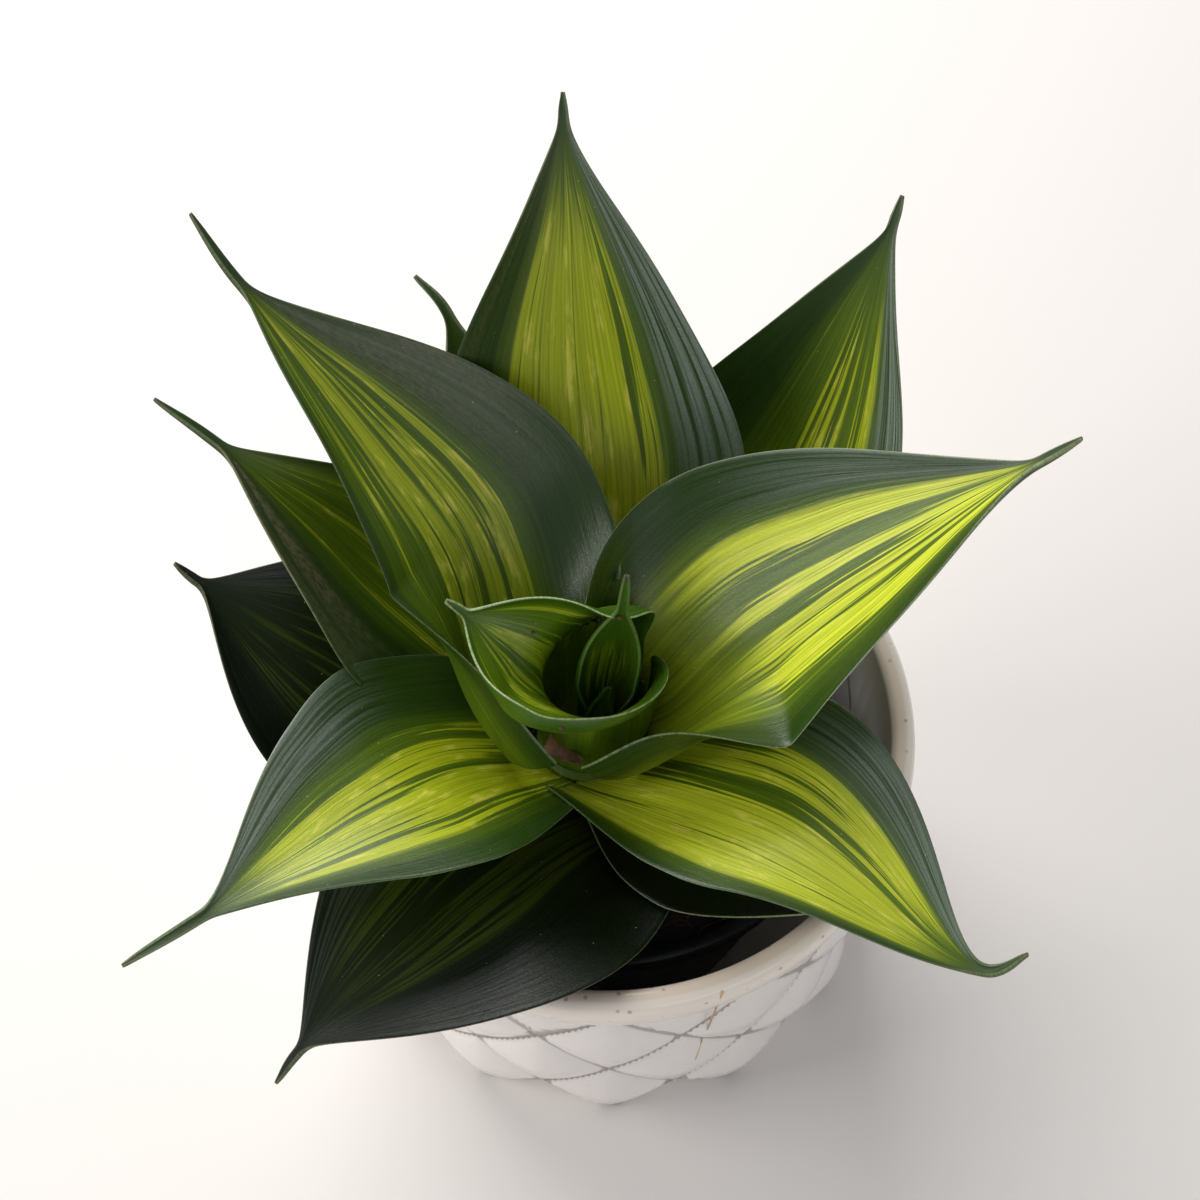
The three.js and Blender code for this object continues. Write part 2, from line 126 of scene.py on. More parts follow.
def calc(tree, operation, *values, clamp=False):
    node = add_node(tree, "ShaderNodeMath", dict(enumerate(values)), operation=operation)
    node.use_clamp = clamp
    return node.outputs[0]


def vector(tree, x=0.0, y=0.0, z=0.0):
    return add_node(tree, "ShaderNodeCombineXYZ", {0: x, 1: y, 2: z}).outputs[0]


def parts_of(tree, value):
    node = add_node(tree, "ShaderNodeSeparateXYZ", {0: value})
    return node.outputs[0], node.outputs[1], node.outputs[2]


def noise(tree, place, scale=1.0, detail=2.0, roughness=0.5, distortion=0.0):
    node = add_node(tree, "ShaderNodeTexNoise", {
        "Vector": place, "Scale": scale, "Detail": detail, "Roughness": roughness,
        "Distortion": distortion,
    })
    return node.outputs["Fac"]


def ramp(tree, value, low, high, to_low=0.0, to_high=1.0):
    """Smooth step of a value from one figure to another"""
    node = add_node(tree, "ShaderNodeMapRange", {
        "Value": value, "From Min": low, "From Max": high, "To Min": to_low, "To Max": to_high,
    }, interpolation_type="SMOOTHSTEP")
    return node.outputs[0]


def mix(tree, share, first, second, blend="MIX"):
    node = add_node(tree, "ShaderNodeMix", data_type="RGBA", blend_type=blend)
    for index, value in ((0, share), (6, first), (7, second)):
        if isinstance(value, bpy.types.NodeSocket):
            tree.links.new(value, node.inputs[index])
        elif index == 0:
            node.inputs[index].default_value = value
        else:
            node.inputs[index].default_value = (*value, 1)
    return node.outputs[2]


def new_group(name, inputs, outputs):
    """A node group with named sockets: (kind, name, default) for inputs and (kind, name)"""
    tree = bpy.data.node_groups.new(name, "ShaderNodeTree")
    for kind, label, default in inputs:
        socket = tree.interface.new_socket(label, in_out="INPUT", socket_type="NodeSocket" + kind)
        socket.default_value = default
    for kind, label in outputs:
        tree.interface.new_socket(label, in_out="OUTPUT", socket_type="NodeSocket" + kind)
    return tree, tree.nodes.new("NodeGroupInput"), tree.nodes.new("NodeGroupOutput")


def new_material(name):
    material = bpy.data.materials.new(name)
    material.use_nodes = True
    tree = material.node_tree
    return material, tree, tree.nodes["Principled BSDF"]


def bump(tree, height, strength, distance):
    node = add_node(tree, "ShaderNodeBump", {
        "Height": height, "Strength": strength, "Distance": distance,
    })
    return node.outputs[0]


# Modelling by hand

def deselect():
    if bpy.context.object and bpy.context.object.mode != "OBJECT":
        bpy.ops.object.mode_set(mode="OBJECT")
    bpy.ops.object.select_all(action="DESELECT")


def pick(piece):
    deselect()
    piece.select_set(True)
    bpy.context.view_layer.objects.active = piece


def apply_modifier(piece, kind, **settings):
    pick(piece)
    modifier = piece.modifiers.new(kind.lower(), kind)
    for key, value in settings.items():
        setattr(modifier, key, value)
    bpy.ops.object.modifier_apply(modifier=modifier.name)


def select_faces(piece, test):
    """Opens a piece for editing with just the faces that pass the test selected"""
    pick(piece)
    bpy.ops.object.mode_set(mode="EDIT")
    bpy.ops.mesh.select_mode(type="FACE")
    bpy.ops.mesh.select_all(action="DESELECT")
    bpy.ops.object.mode_set(mode="OBJECT")
    chosen = [face for face in piece.data.polygons if test(face)]
    for face in chosen:
        face.select = True
    bpy.ops.object.mode_set(mode="EDIT")
    return len(chosen)


def select_edges_at(piece, height):
    """Opens a piece for editing with the edges at one height selected, in millimetres"""
    pick(piece)
    bpy.ops.object.mode_set(mode="EDIT")
    bpy.ops.mesh.select_mode(type="EDGE")
    bpy.ops.mesh.select_all(action="DESELECT")
    bpy.ops.object.mode_set(mode="OBJECT")
    for edge in piece.data.edges:
        ends = [piece.data.vertices[i].co.z / MM for i in edge.vertices]
        edge.select = all(abs(z - height) < 0.01 for z in ends)
    bpy.ops.object.mode_set(mode="EDIT")


def place_in_mesh(piece):
    pick(piece)
    bpy.ops.object.transform_apply(location=True, rotation=True, scale=True)


def finish_piece(piece, material, replaces=None, smooth_angle=40):
    """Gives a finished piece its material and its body"""
    place_in_mesh(piece)
    piece.data.materials.clear()
    piece.data.materials.append(material)
    bpy.ops.object.shade_smooth_by_angle(angle=math.radians(smooth_angle))
    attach(piece, "root")
    if replaces:
        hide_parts(replaces)
    return piece


# Leaf shapes: the same figures as the CAD model's, in millimetres and degrees. The midrib runs
# through the listed points from the foot to the spine's tip. width is across the unrolled
# blade, widest is where along it, base is the foot's share of the width, and taper shapes the
# run to the spine. channel is half the angle that the section curls through, roll its turn and
# thick the thickness at the midrib, each at the base, the middle and the shoulder. The sheath is
# the share of the blade that keeps its base figures, opening is where the channel reaches its
# middle figure, and wave is how far the margins ripple.
LEAVES = {
    "leaf_core": dict(
        midrib=[(-3, -3.5, 76.5), (-1.8, -3.8, 85), (-0.5, -3.8, 92), (0, -4, 94.5)],
        width=8, widest=0.3, taper=1.9, base=1, heading=85, sheath=0.2,
        channel=(120, 90, 50), thick=(1.2, 1.1, 1), wave=0),
    "leaf_spear": dict(
        midrib=[(-1.4, 1.5, 76.5), (0.2, 2.2, 97), (2.2, 1.2, 114), (2.9, 2, 124)],
        width=18, widest=0.45, taper=1.9, base=0.85, heading=85, sheath=0.2,
        channel=(140, 105, 50), thick=(1.6, 1.5, 1.2), wave=0),
    "leaf_young_cup": dict(
        midrib=[(-9.8, -7, 76), (-13, -3, 97), (-25.5, 2.5, 110.5), (-28.5, 3.5, 113)],
        width=63, widest=0.42, taper=1.5, base=0.8, sheath=0.34,
        channel=(172, 120, 50), roll=(-62, 4, 8), thick=(1.8, 1.8, 1.2), wave=0.3),
    "leaf_right": dict(
        midrib=[(6.4, 1.4, 78.5), (10.3, 1, 83), (27.3, 8.8, 100), (71, 13, 143), (77, 13, 150)],
        width=60, widest=0.3, taper=1.5, base=0.88, sheath=0.05, opening=0.31,
        channel=(124, 38, 35), roll=(-14, -10, 0), thick=(2.4, 2.2, 1.4), wave=0.4),
    "leaf_upper_left": dict(
        midrib=[(-14, 6, 78.5), (-18, 8, 85), (-25.5, 25.5, 105.5), (-64, 50, 143),
                (-72, 58, 152)],
        width=49, widest=0.36, taper=1.5, base=1.25, sheath=0.05,
        channel=(138, 36, 35), roll=(12, 0, 0), thick=(2.4, 2.2, 1.4), wave=0.4),
    "leaf_back_tall": dict(
        midrib=[(-4.5, 4, 66), (-5, 44, 104), (-8, 68, 165), (-8, 71, 168)],
        width=62, widest=0.42, taper=1.5, base=0.5,
        channel=(80, 30, 30), thick=(3, 2.4, 1.4), wave=0.3),
    "leaf_back_right": dict(
        midrib=[(1, 2, 65), (33.5, 39, 93), (49.7, 62, 144), (51, 65, 148)],
        width=58, widest=0.45, taper=1.6, base=0.5,
        channel=(70, 40, 40), thick=(3, 2.4, 1.4), wave=0.4),
    "leaf_front_right": dict(
        midrib=[(-3, -7.5, 72), (31, -26, 90), (64, -56, 90), (71, -54, 93)],
        width=46, widest=0.4, taper=1.6, base=0.66,
        channel=(70, 25, 30), thick=(3, 2.4, 1.4), wave=0.4),
    "leaf_front_left": dict(
        midrib=[(-12, -5.5, 70.5), (-30, -15.4, 85.5), (-45, -27.5, 93), (-69, -49, 97),
                (-83, -56, 92)],
        width=49, widest=0.4, taper=1.5, base=0.66,
        channel=(58, 25, 30), thick=(3, 2.4, 1.4), wave=0.4),
    "leaf_left": dict(
        midrib=[(-9.5, 1, 68), (-40, 19, 87), (-69, 31, 121), (-80, 36, 128)],
        width=44, widest=0.45, taper=1.6, base=0.5,
        channel=(50, 38, 40), thick=(3, 2.4, 1.4), wave=0.4),
    "leaf_back_left": dict(
        midrib=[(-7, 3, 63), (-18, 33, 76), (-30, 63, 116), (-36, 69, 120)],
        width=36, widest=0.45, taper=1.6, base=0.5,
        channel=(70, 30, 40), thick=(3, 2.2, 1.4), wave=0.3),
    "leaf_front_under": dict(
        midrib=[(0, -8, 64), (24, -28, 77), (45, -41, 82), (51, -43, 83)],
        width=36, widest=0.5, taper=1.6, base=0.5,
        channel=(60, 20, 20), thick=(2.8, 2.2, 1.4), wave=0.3),
    "leaf_front_low": dict(
        midrib=[(1.5, -12, 62.5), (-23, -35, 77), (-54, -65.5, 77), (-58, -70.5, 74)],
        width=58, widest=0.38, taper=2, base=0.75,
        channel=(55, 15, 20), thick=(2.8, 2.2, 1.4), wave=0.4),
    "leaf_low_left": dict(
        midrib=[(-11, -3.5, 62.5), (-27, -1, 68), (-49, 6.8, 81), (-75, 17.5, 96), (-79, 19, 100)],
        width=53, widest=0.5, taper=2, base=0.5,
        channel=(45, 22, 30), roll=(0, 14, 12), thick=(2.8, 2.2, 1.4), wave=0.4),
}
ACROSS = 26
BLADE_ROWS = 66
SPINE_ROWS = 12
SPINE_UV_LENGTH = 0.15

# Margins and spines are a little finer than the CAD model's
SPINE_HALF_WIDTH = 0.75
SPINE_END_SHARE = 0.25
MARGIN_THICKNESS = 0.5
TIP_DRAW = 1.2
OPENING_SHARE = 0.33
RIPPLE_PITCH = 37
RIPPLE_SLANT = 1.9
CUT_REACH = 1.2 * MM


def rib_point(points, share):
    """A point on the smooth centripetal curve through the midrib's points"""
    runs = len(points) - 1
    k = min(int(share * runs), runs - 1)
    weight = share * runs - k
    p1, p2 = points[k], points[k + 1]
    p0 = points[k - 1] if k > 0 else 2 * p1 - p2
    p3 = points[k + 2] if k + 2 <= runs else 2 * p2 - p1
    d0, d1, d2 = ((b - a).length ** 0.5 for a, b in ((p0, p1), (p1, p2), (p2, p3)))
    start = ((p1 - p0) / d0 - (p2 - p0) / (d0 + d1) + (p2 - p1) / d1) * d1
    end = ((p2 - p1) / d1 - (p3 - p1) / (d1 + d2) + (p3 - p2) / d2) * d1
    bend = 2 * p1 - 2 * p2 + start + end
    swing = 3 * p2 - 3 * p1 - 2 * start - end
    return p1 + start * weight + swing * weight ** 2 + bend * weight ** 3


def even_points(points, low, high, steps):
    """Points spaced evenly along the midrib between two shares, and their run's length"""
    fine = [rib_point(points, low + (high - low) * i / 200) for i in range(201)]
    lengths = np.cumsum([0] + [(b - a).length for a, b in zip(fine, fine[1:])])
    wanted = np.linspace(0, lengths[-1], steps + 1)
    axes = [np.interp(wanted, lengths, [p[axis] for p in fine]) for axis in range(3)]
    return [Vector(p) for p in zip(*axes)], lengths[-1]


def smooth_step(x, low, high):
    x = min(max((x - low) / (high - low), 0), 1)
    return x * x * (3 - 2 * x)


def along_leaf(figures, share, middle_share=0.5):
    """A figure that passes smoothly from the base through the middle to the shoulder"""
    base, middle, shoulder = figures
    if share < middle_share:
        return base + (middle - base) * smooth_step(share, 0, middle_share)
    return middle + (shoulder - middle) * smooth_step(share, middle_share, 1)


def half_width(leaf, share, spine_share):
    rise_share = min(share / leaf["widest"], 1)
    rise = leaf["base"] + (1 - leaf["base"]) * math.sin(math.pi / 2 * rise_share)
    past = max(share - leaf["widest"], 0) / (1 - leaf["widest"])
    fall = (1 - past ** leaf["taper"]) ** TIP_DRAW
    outline = rise if share < leaf["widest"] else fall
    spine = SPINE_HALF_WIDTH * (1 - (1 - SPINE_END_SHARE) * spine_share ** 2)
    return math.hypot(leaf["width"] / 2 * outline, spine)


def leaf_rows(leaf):
    """For each row from base to tip: its middle, directions, width, curl and place on the leaf"""
    points = [Vector(p) for p in leaf["midrib"]]
    shoulder = (len(points) - 2) / (len(points) - 1)
    blade, blade_length = even_points(points, 0, shoulder, BLADE_ROWS)
    spine, spine_length = even_points(points, shoulder, 1, SPINE_ROWS)
    centres = blade + spine[1:]
    foot, neck = points[0], points[-2]
    heading = math.atan2(neck.y - foot.y, neck.x - foot.x)
    if "heading" in leaf:
        heading = math.radians(leaf["heading"])
    level = Vector((math.sin(heading), -math.cos(heading), 0))
    sheath = leaf.get("sheath", 0)
    rows = []
    for i, centre in enumerate(centres):
        share = min(i / BLADE_ROWS, 1)
        spine_share = max(0, i - BLADE_ROWS) / SPINE_ROWS
        before = centres[max(i - 1, 0)]
        after = centres[min(i + 1, len(centres) - 1)]
        forward = (after - before).normalized()
        side = (level - forward * level.dot(forward)).normalized()
        up = side.cross(forward)
        blade_share = max(share - sheath, 0) / (1 - sheath)
        roll = math.radians(along_leaf(leaf.get("roll", (0, 0, 0)), blade_share))
        rows.append(dict(
            centre=centre,
            side=side * math.cos(roll) + up * math.sin(roll),
            up=up * math.cos(roll) - side * math.sin(roll),
            half=half_width(leaf, share, spine_share),
            curl=math.radians(along_leaf(
                leaf["channel"], blade_share, leaf.get("opening", OPENING_SHARE))),
            middle=along_leaf(leaf["thick"], share) * (1 - 0.5 * spine_share ** 2),
            share=share, spine_share=spine_share,
            along=share * blade_length + spine_share * spine_length,
            uv=share + SPINE_UV_LENGTH * spine_share,
        ))
    return rows


def blade_point(leaf, row, q, blade_length):
    """A point of the upper face, in millimetres, q from -1 at one margin to 1 at the other"""
    angle = row["curl"] * q
    radius = row["half"] / row["curl"]
    inward = row["up"] * math.cos(angle) - row["side"] * math.sin(angle)
    phase = 2 * math.pi * row["share"] * blade_length / RIPPLE_PITCH
    ripple = leaf["wave"] * abs(q) ** 3 * (1 - row["spine_share"])
    ripple *= math.sin(phase + RIPPLE_SLANT * q + leaf["width"])
    place = row["centre"] + row["side"] * radius * math.sin(angle)
    place += row["up"] * radius * (1 - math.cos(angle)) + inward * ripple
    return place


def leaf_piece(name, leaf, material):
    """A flat grid blade, laid along its midrib and channelled, cut back to the CAD leaf where
    that clasps its neighbours, then thickened and smoothed"""
    deselect()
    rows = leaf_rows(leaf)
    blade_length = rows[BLADE_ROWS]["along"]
    bpy.ops.mesh.primitive_grid_add(
        x_subdivisions=ACROSS, y_subdivisions=len(rows) - 1, size=2, calc_uvs=True)
    piece = bpy.context.object
    piece.name = name + "_blade"
    mesh = piece.data
    thickest = max(leaf["thick"])
    body = piece.vertex_groups.new(name="thickness")
    spots = []
    for vertex in mesh.vertices:
        q = vertex.co.x
        row = rows[round((vertex.co.y + 1) / 2 * (len(rows) - 1))]
        vertex.co = blade_point(leaf, row, q, blade_length) * MM
        edge = min(MARGIN_THICKNESS, row["middle"])
        thickness = row["middle"] + (edge - row["middle"]) * q * q
        body.add([vertex.index], thickness / thickest, "REPLACE")
        spots.append(((q + 1) / 2, row["uv"], q * row["half"], row["along"]))
    shares = mesh.uv_layers[0]
    shares.name = "share"
    sizes = mesh.uv_layers.new(name="size")
    for loop in mesh.loops:
        spot = spots[loop.vertex_index]
        shares.data[loop.index].uv = spot[:2]
        sizes.data[loop.index].uv = spot[2:]
    cad_leaf = frame["nodes"][name]

    def cut_away(face):
        found, nearest, _, _ = cad_leaf.closest_point_on_mesh(face.center)
        return not found or (nearest - face.center).length > CUT_REACH

    if select_faces(piece, cut_away):
        bpy.ops.mesh.delete(type="FACE")
    bpy.ops.object.mode_set(mode="OBJECT")
    apply_modifier(
        piece, "SOLIDIFY", thickness=thickest * MM, offset=-1, vertex_group="thickness",
        use_even_offset=False)
    apply_modifier(piece, "SUBSURF", levels=1, render_levels=1)
    return finish_piece(piece, material, replaces=name, smooth_angle=60)


# Leaf finish: stripes along the blade, wax with painted sheen, fine ribs and a pale hairline
# margin

def leaf_markings():
    """Node group: share holds the place across and along the leaf from 0 to 1, and size the same
    in millimetres from the midrib and from the foot"""
    tree, given, out = new_group("leaf_markings", [
        ("Float", "Seed", 0.0), ("Float", "Left", -0.5), ("Float", "Right", 0.5),
        ("Float", "Lime", 0.5), ("Float", "Reach", 0.85), ("Float", "Start", 0.0),
        ("Float", "Pale Base", 0.0), ("Float", "Glint", 0.65),
        ("Float", "Bloom", 0.3), ("Float", "Bloom Side", 1.0),
        ("Float", "Tan", 0.0), ("Float", "Tan Side", 1.0), ("Float", "Hairline", 0.3),
        ("Color", "Margin", (0.02, 0.05, 0.005, 1)), ("Color", "Mid", (0.1, 0.17, 0.005, 1)),
        ("Color", "Bright", (0.5, 0.6, 0.03, 1)),
    ], [("Color", "Color"), ("Float", "Roughness"), ("Float", "Height")])
    seed = given.outputs["Seed"]
    share_map = add_node(tree, "ShaderNodeUVMap", uv_map="share").outputs[0]
    size_map = add_node(tree, "ShaderNodeUVMap", uv_map="size").outputs[0]
    u, v, _ = parts_of(tree, share_map)
    across, along, _ = parts_of(tree, size_map)
    q = calc(tree, "MULTIPLY_ADD", u, 2.0, -1.0)

    def streaks(wide, long, shift, detail=2.0, roughness=0.5):
        x = calc(tree, "MULTIPLY_ADD", wavy, wide, seed)
        y = calc(tree, "MULTIPLY", v, long)
        z = calc(tree, "MULTIPLY_ADD", seed, 1.7, shift)
        return noise(tree, vector(tree, x, y, z), 1.0, detail, roughness)

    sway = noise(tree, vector(tree, calc(tree, "MULTIPLY", v, 2.2), seed, q), 1.0, 1.0)
    wavy = calc(tree, "MULTIPLY_ADD", sway, 0.16, calc(tree, "SUBTRACT", q, 0.08))
    broad = streaks(4.5, 0.7, 0.0, 1.0)
    middle = streaks(15, 1.3, 5.0, 2.0, 0.6)
    fine = streaks(48, 3.0, 9.0, 2.0, 0.6)
    veins = streaks(21, 0.5, 13.0, 0.0)
    flecks = streaks(10, 9.0, 17.0, 3.0, 0.65)
    spot = vector(tree, across, calc(tree, "MULTIPLY", along, 0.4), seed)
    grain = noise(tree, spot, 1.3, 3.0, 0.7)
    grit = noise(tree, vector(tree, across, along, seed), 3.1, 2.0, 0.6)

    low, high = given.outputs["Left"], given.outputs["Right"]
    edge = calc(tree, "MULTIPLY_ADD", middle, 0.12, calc(tree, "SUBTRACT", wavy, 0.06))
    from_low = calc(tree, "SUBTRACT", edge, low)
    to_high = calc(tree, "SUBTRACT", high, edge)
    inside = calc(tree, "MINIMUM", from_low, to_high)
    band = ramp(tree, inside, -0.02, 0.04)
    wide_band = ramp(tree, inside, -0.22, 0.1)
    tip_side = calc(tree, "MULTIPLY_ADD", middle, 0.3, calc(tree, "SUBTRACT", v, 0.15))
    past = calc(tree, "SUBTRACT", tip_side, given.outputs["Reach"])
    reach = ramp(tree, past, -0.1, 0.08, 1.0, 0.0)

    mixed = calc(tree, "MULTIPLY_ADD", broad, 0.42, calc(tree, "MULTIPLY", middle, 0.4))
    mixed = calc(tree, "MULTIPLY_ADD", fine, 0.18, mixed)
    mixed = calc(tree, "MULTIPLY_ADD", given.outputs["Lime"], 0.3, mixed)
    lime = ramp(tree, mixed, 0.63, 0.668)
    began = calc(tree, "SUBTRACT", tip_side, given.outputs["Start"])
    lime = calc(tree, "MULTIPLY", lime, ramp(tree, began, -0.08, 0.1))
    lime = calc(tree, "MULTIPLY", calc(tree, "MULTIPLY", lime, band), reach)
    mid_share = calc(tree, "MULTIPLY", wide_band, ramp(tree, past, -0.05, 0.2, 1.0, 0.15))
    mid_share = calc(tree, "MULTIPLY", mid_share, ramp(tree, middle, 0.25, 0.6, 0.55, 1.0))

    pale = calc(tree, "MULTIPLY", ramp(tree, v, 0.08, 0.4, 1.0, 0.0), given.outputs["Pale Base"])
    ground = mix(tree, pale, given.outputs["Mid"], (0.27, 0.34, 0.012))
    colour = mix(tree, mid_share, given.outputs["Margin"], ground)
    colour = mix(tree, lime, colour, given.outputs["Bright"])
    glint = calc(tree, "MULTIPLY", lime, ramp(tree, flecks, 0.54, 0.68))
    glint = calc(tree, "MULTIPLY", glint, given.outputs["Glint"])
    colour = mix(tree, glint, colour, (0.74, 0.7, 0.1))
    thin = calc(tree, "ABSOLUTE", calc(tree, "SUBTRACT", veins, 0.5))
    dark_vein = calc(tree, "MULTIPLY", ramp(tree, thin, 0.004, 0.016, 0.75, 0.0), wide_band)
    colour = mix(tree, dark_vein, colour, given.outputs["Mid"])
    shade = ramp(tree, fine, 0.3, 0.7, 0.8, 1.15)
    colour = mix(tree, 1.0, colour, add_node(
        tree, "ShaderNodeCombineColor", {0: shade, 1: shade, 2: shade}).outputs[0], "MULTIPLY")

    # Painted sheen: a grey-green waxy cast on one margin towards the tip stands in for reflected
    # light
    bloom_side = calc(tree, "MULTIPLY", q, given.outputs["Bloom Side"])
    sheen_streaks = streaks(34, 1.6, 21.0, 3.0, 0.7)
    bloom = calc(
        tree, "MULTIPLY", ramp(tree, bloom_side, 0.38, 0.72), ramp(tree, sheen_streaks, 0.36, 0.6))
    bloom = calc(tree, "MULTIPLY", bloom, ramp(tree, v, 0.3, 0.6))
    bloom = calc(tree, "MULTIPLY", bloom, ramp(tree, grit, 0.25, 0.6, 0.65, 1.0))
    bloom = calc(tree, "MULTIPLY", bloom, given.outputs["Bloom"])
    colour = mix(tree, bloom, colour, (0.26, 0.31, 0.27))
    tan_side = calc(tree, "MULTIPLY", q, given.outputs["Tan Side"])
    tan = calc(tree, "MULTIPLY", ramp(tree, tan_side, 0.1, 0.6), ramp(tree, broad, 0.35, 0.6))
    tan = calc(tree, "MULTIPLY", tan, ramp(tree, grain, 0.25, 0.7))
    tan = calc(tree, "MULTIPLY", tan, ramp(tree, v, 0.3, 0.75))
    tan = calc(tree, "MULTIPLY", tan, given.outputs["Tan"])
    colour = mix(tree, tan, colour, (0.24, 0.2, 0.12))

    tip = ramp(tree, v, 0.93, 1.03)
    colour = mix(tree, tip, colour, given.outputs["Margin"])
    colour = mix(tree, ramp(tree, v, 1.1, 1.15), colour, (0.05, 0.035, 0.02))
    whole = calc(tree, "DIVIDE", calc(tree, "ABSOLUTE", across),
                 calc(tree, "MAXIMUM", calc(tree, "ABSOLUTE", q), 0.01))
    from_margin = calc(tree, "SUBTRACT", whole, calc(tree, "ABSOLUTE", across))
    hair = calc(tree, "MULTIPLY", ramp(tree, from_margin, 0.05, 0.22, 1.0, 0.0),
                ramp(tree, grit, 0.3, 0.6, 0.4, 1.0))
    hair = calc(tree, "MULTIPLY", hair, given.outputs["Hairline"])
    colour = mix(tree, hair, colour, (0.34, 0.42, 0.2))
    dust = add_node(tree, "ShaderNodeTexVoronoi", {
        "Vector": vector(tree, across, along, seed), "Scale": 0.42}, feature="F1")
    speck = calc(tree, "MULTIPLY", ramp(tree, dust.outputs["Distance"], 0.03, 0.055, 1.0, 0.0),
                 ramp(tree, parts_of(tree, dust.outputs["Color"])[0], 0.62, 0.66))
    colour = mix(tree, calc(tree, "MULTIPLY", speck, 0.6), colour, (0.6, 0.62, 0.5))
    tree.links.new(colour, out.inputs["Color"])

    rough = ramp(tree, grit, 0.3, 0.7, 0.3, 0.46)
    rough = calc(tree, "MULTIPLY_ADD", bloom, 0.1, rough)
    tree.links.new(rough, out.inputs["Roughness"])
    height = calc(tree, "MULTIPLY_ADD", fine, 0.6, calc(tree, "MULTIPLY", grain, 0.5))
    height = calc(tree, "MULTIPLY_ADD", grit, 0.25, height)
    height = calc(tree, "MULTIPLY_ADD", middle, 0.7, height)
    tree.links.new(height, out.inputs["Height"])
    return tree


MARKINGS = leaf_markings()

# Tones of full-grown, young and low leaves in painted shade: glint is how strongly yellow blotches
# show
# Painted glow: each bright tone is the stripes' own lime, raised to stand in for light through the
# leaf
OLD = dict(
    glint=0.65, margin=(0.018, 0.05, 0.003), mid=(0.1, 0.17, 0.003), bright=(0.4, 0.47, 0.008))
YOUNG = dict(
    glint=0.4, margin=(0.045, 0.12, 0.004), mid=(0.11, 0.2, 0.004), bright=(0.34, 0.45, 0.015))
# Painted shade: the low leaves' near-black tones stand in for the shade they lie in
PAINTED_SHADE_TONES = dict(
    glint=0.0, margin=(0.002, 0.006, 0.001), mid=(0.008, 0.018, 0.001),
    bright=(0.035, 0.055, 0.003))

# Where each leaf's striped band lies across it, from -1 at one margin to 1 at the other, how much
# of it is bright, where along the leaf it starts and how far it reaches, and its waxy cast with
# painted sheen, brown tinge, pale foot and own tones
FINISHES = {
    "leaf_back_tall": dict(OLD, seed=3.1, left=-0.47, right=0.5, lime=0.62, reach=0.86,
                           bloom=0.75, bloom_side=1, tan=0.2, tan_side=-1, hairline=0.3),
    "leaf_upper_left": dict(OLD, seed=11.4, left=-0.8, right=0.3, lime=0.5, reach=0.95,
                            start=0.16, bright=(0.33, 0.4, 0.008),
                            bloom=0.15, bloom_side=1, tan=0.45, tan_side=1, hairline=0.3),
    "leaf_right": dict(OLD, seed=23.7, left=-0.5, right=0.66, lime=0.66, reach=0.98,
                       start=0.26, bright=(0.6, 0.68, 0.03), pale_base=0.9,
                       bloom=0.4, bloom_side=-1, tan=0, tan_side=1, hairline=0.6),
    "leaf_back_right": dict(OLD, seed=31.9, left=-0.35, right=0.5, lime=0.5, reach=0.85,
                            bloom=0.9, bloom_side=1, tan=0, tan_side=1, hairline=0.3),
    "leaf_left": dict(OLD, seed=43.2, left=-0.15, right=0.8, lime=0.42, reach=0.9,
                      bright=(0.24, 0.3, 0.008),
                      bloom=0.1, bloom_side=-1, tan=0.8, tan_side=-1, hairline=0.3),
    "leaf_front_left": dict(OLD, seed=57.6, left=-0.62, right=0.38, lime=0.55, reach=0.85,
                            bloom=0.7, bloom_side=1, tan=0.1, tan_side=1, hairline=0.3),
    "leaf_front_right": dict(OLD, seed=61.3, left=-0.5, right=0.78, lime=0.6, reach=0.88,
                             bright=(0.46, 0.53, 0.02),
                             bloom=0.5, bloom_side=-1, tan=0, tan_side=1, hairline=0.3),
    "leaf_back_left": dict(OLD, seed=77.7, left=-0.3, right=0.4, lime=0.25, reach=0.7,
                           bloom=0.3, bloom_side=1, tan=0.2, tan_side=1, hairline=0.3),
    "leaf_low_left": dict(PAINTED_SHADE_TONES, seed=83.5, left=-0.5, right=0.6, lime=0.4, reach=0.85,
                          bloom=0.1, bloom_side=1, tan=0, tan_side=1, hairline=0.3),
    "leaf_front_low": dict(PAINTED_SHADE_TONES, seed=91.1, left=-0.3, right=0.7, lime=0.5, reach=0.85,
                           bloom=0.15, bloom_side=1, tan=0, tan_side=1, hairline=0.4),
    "leaf_front_under": dict(PAINTED_SHADE_TONES, seed=97.4, left=-0.4, right=0.5, lime=0.2, reach=0.7,
                             bloom=0, bloom_side=1, tan=0, tan_side=1, hairline=0.7),
    "leaf_young_cup": dict(YOUNG, seed=103.8, left=-0.6, right=0.7, lime=0.4, reach=0.9,
                           start=0.4,
                           bloom=0, bloom_side=1, tan=0, tan_side=1, hairline=0.9),
    "leaf_spear": dict(YOUNG, seed=113.3, left=-0.5, right=0.55, lime=0.5, reach=0.6,
                       bloom=0, bloom_side=1, tan=0, tan_side=1, hairline=0.2),
    "leaf_core": dict(YOUNG, seed=127.9, left=-0.3, right=0.3, lime=0.1, reach=0.5,
                      bloom=0, bloom_side=1, tan=0, tan_side=1, hairline=0),
}


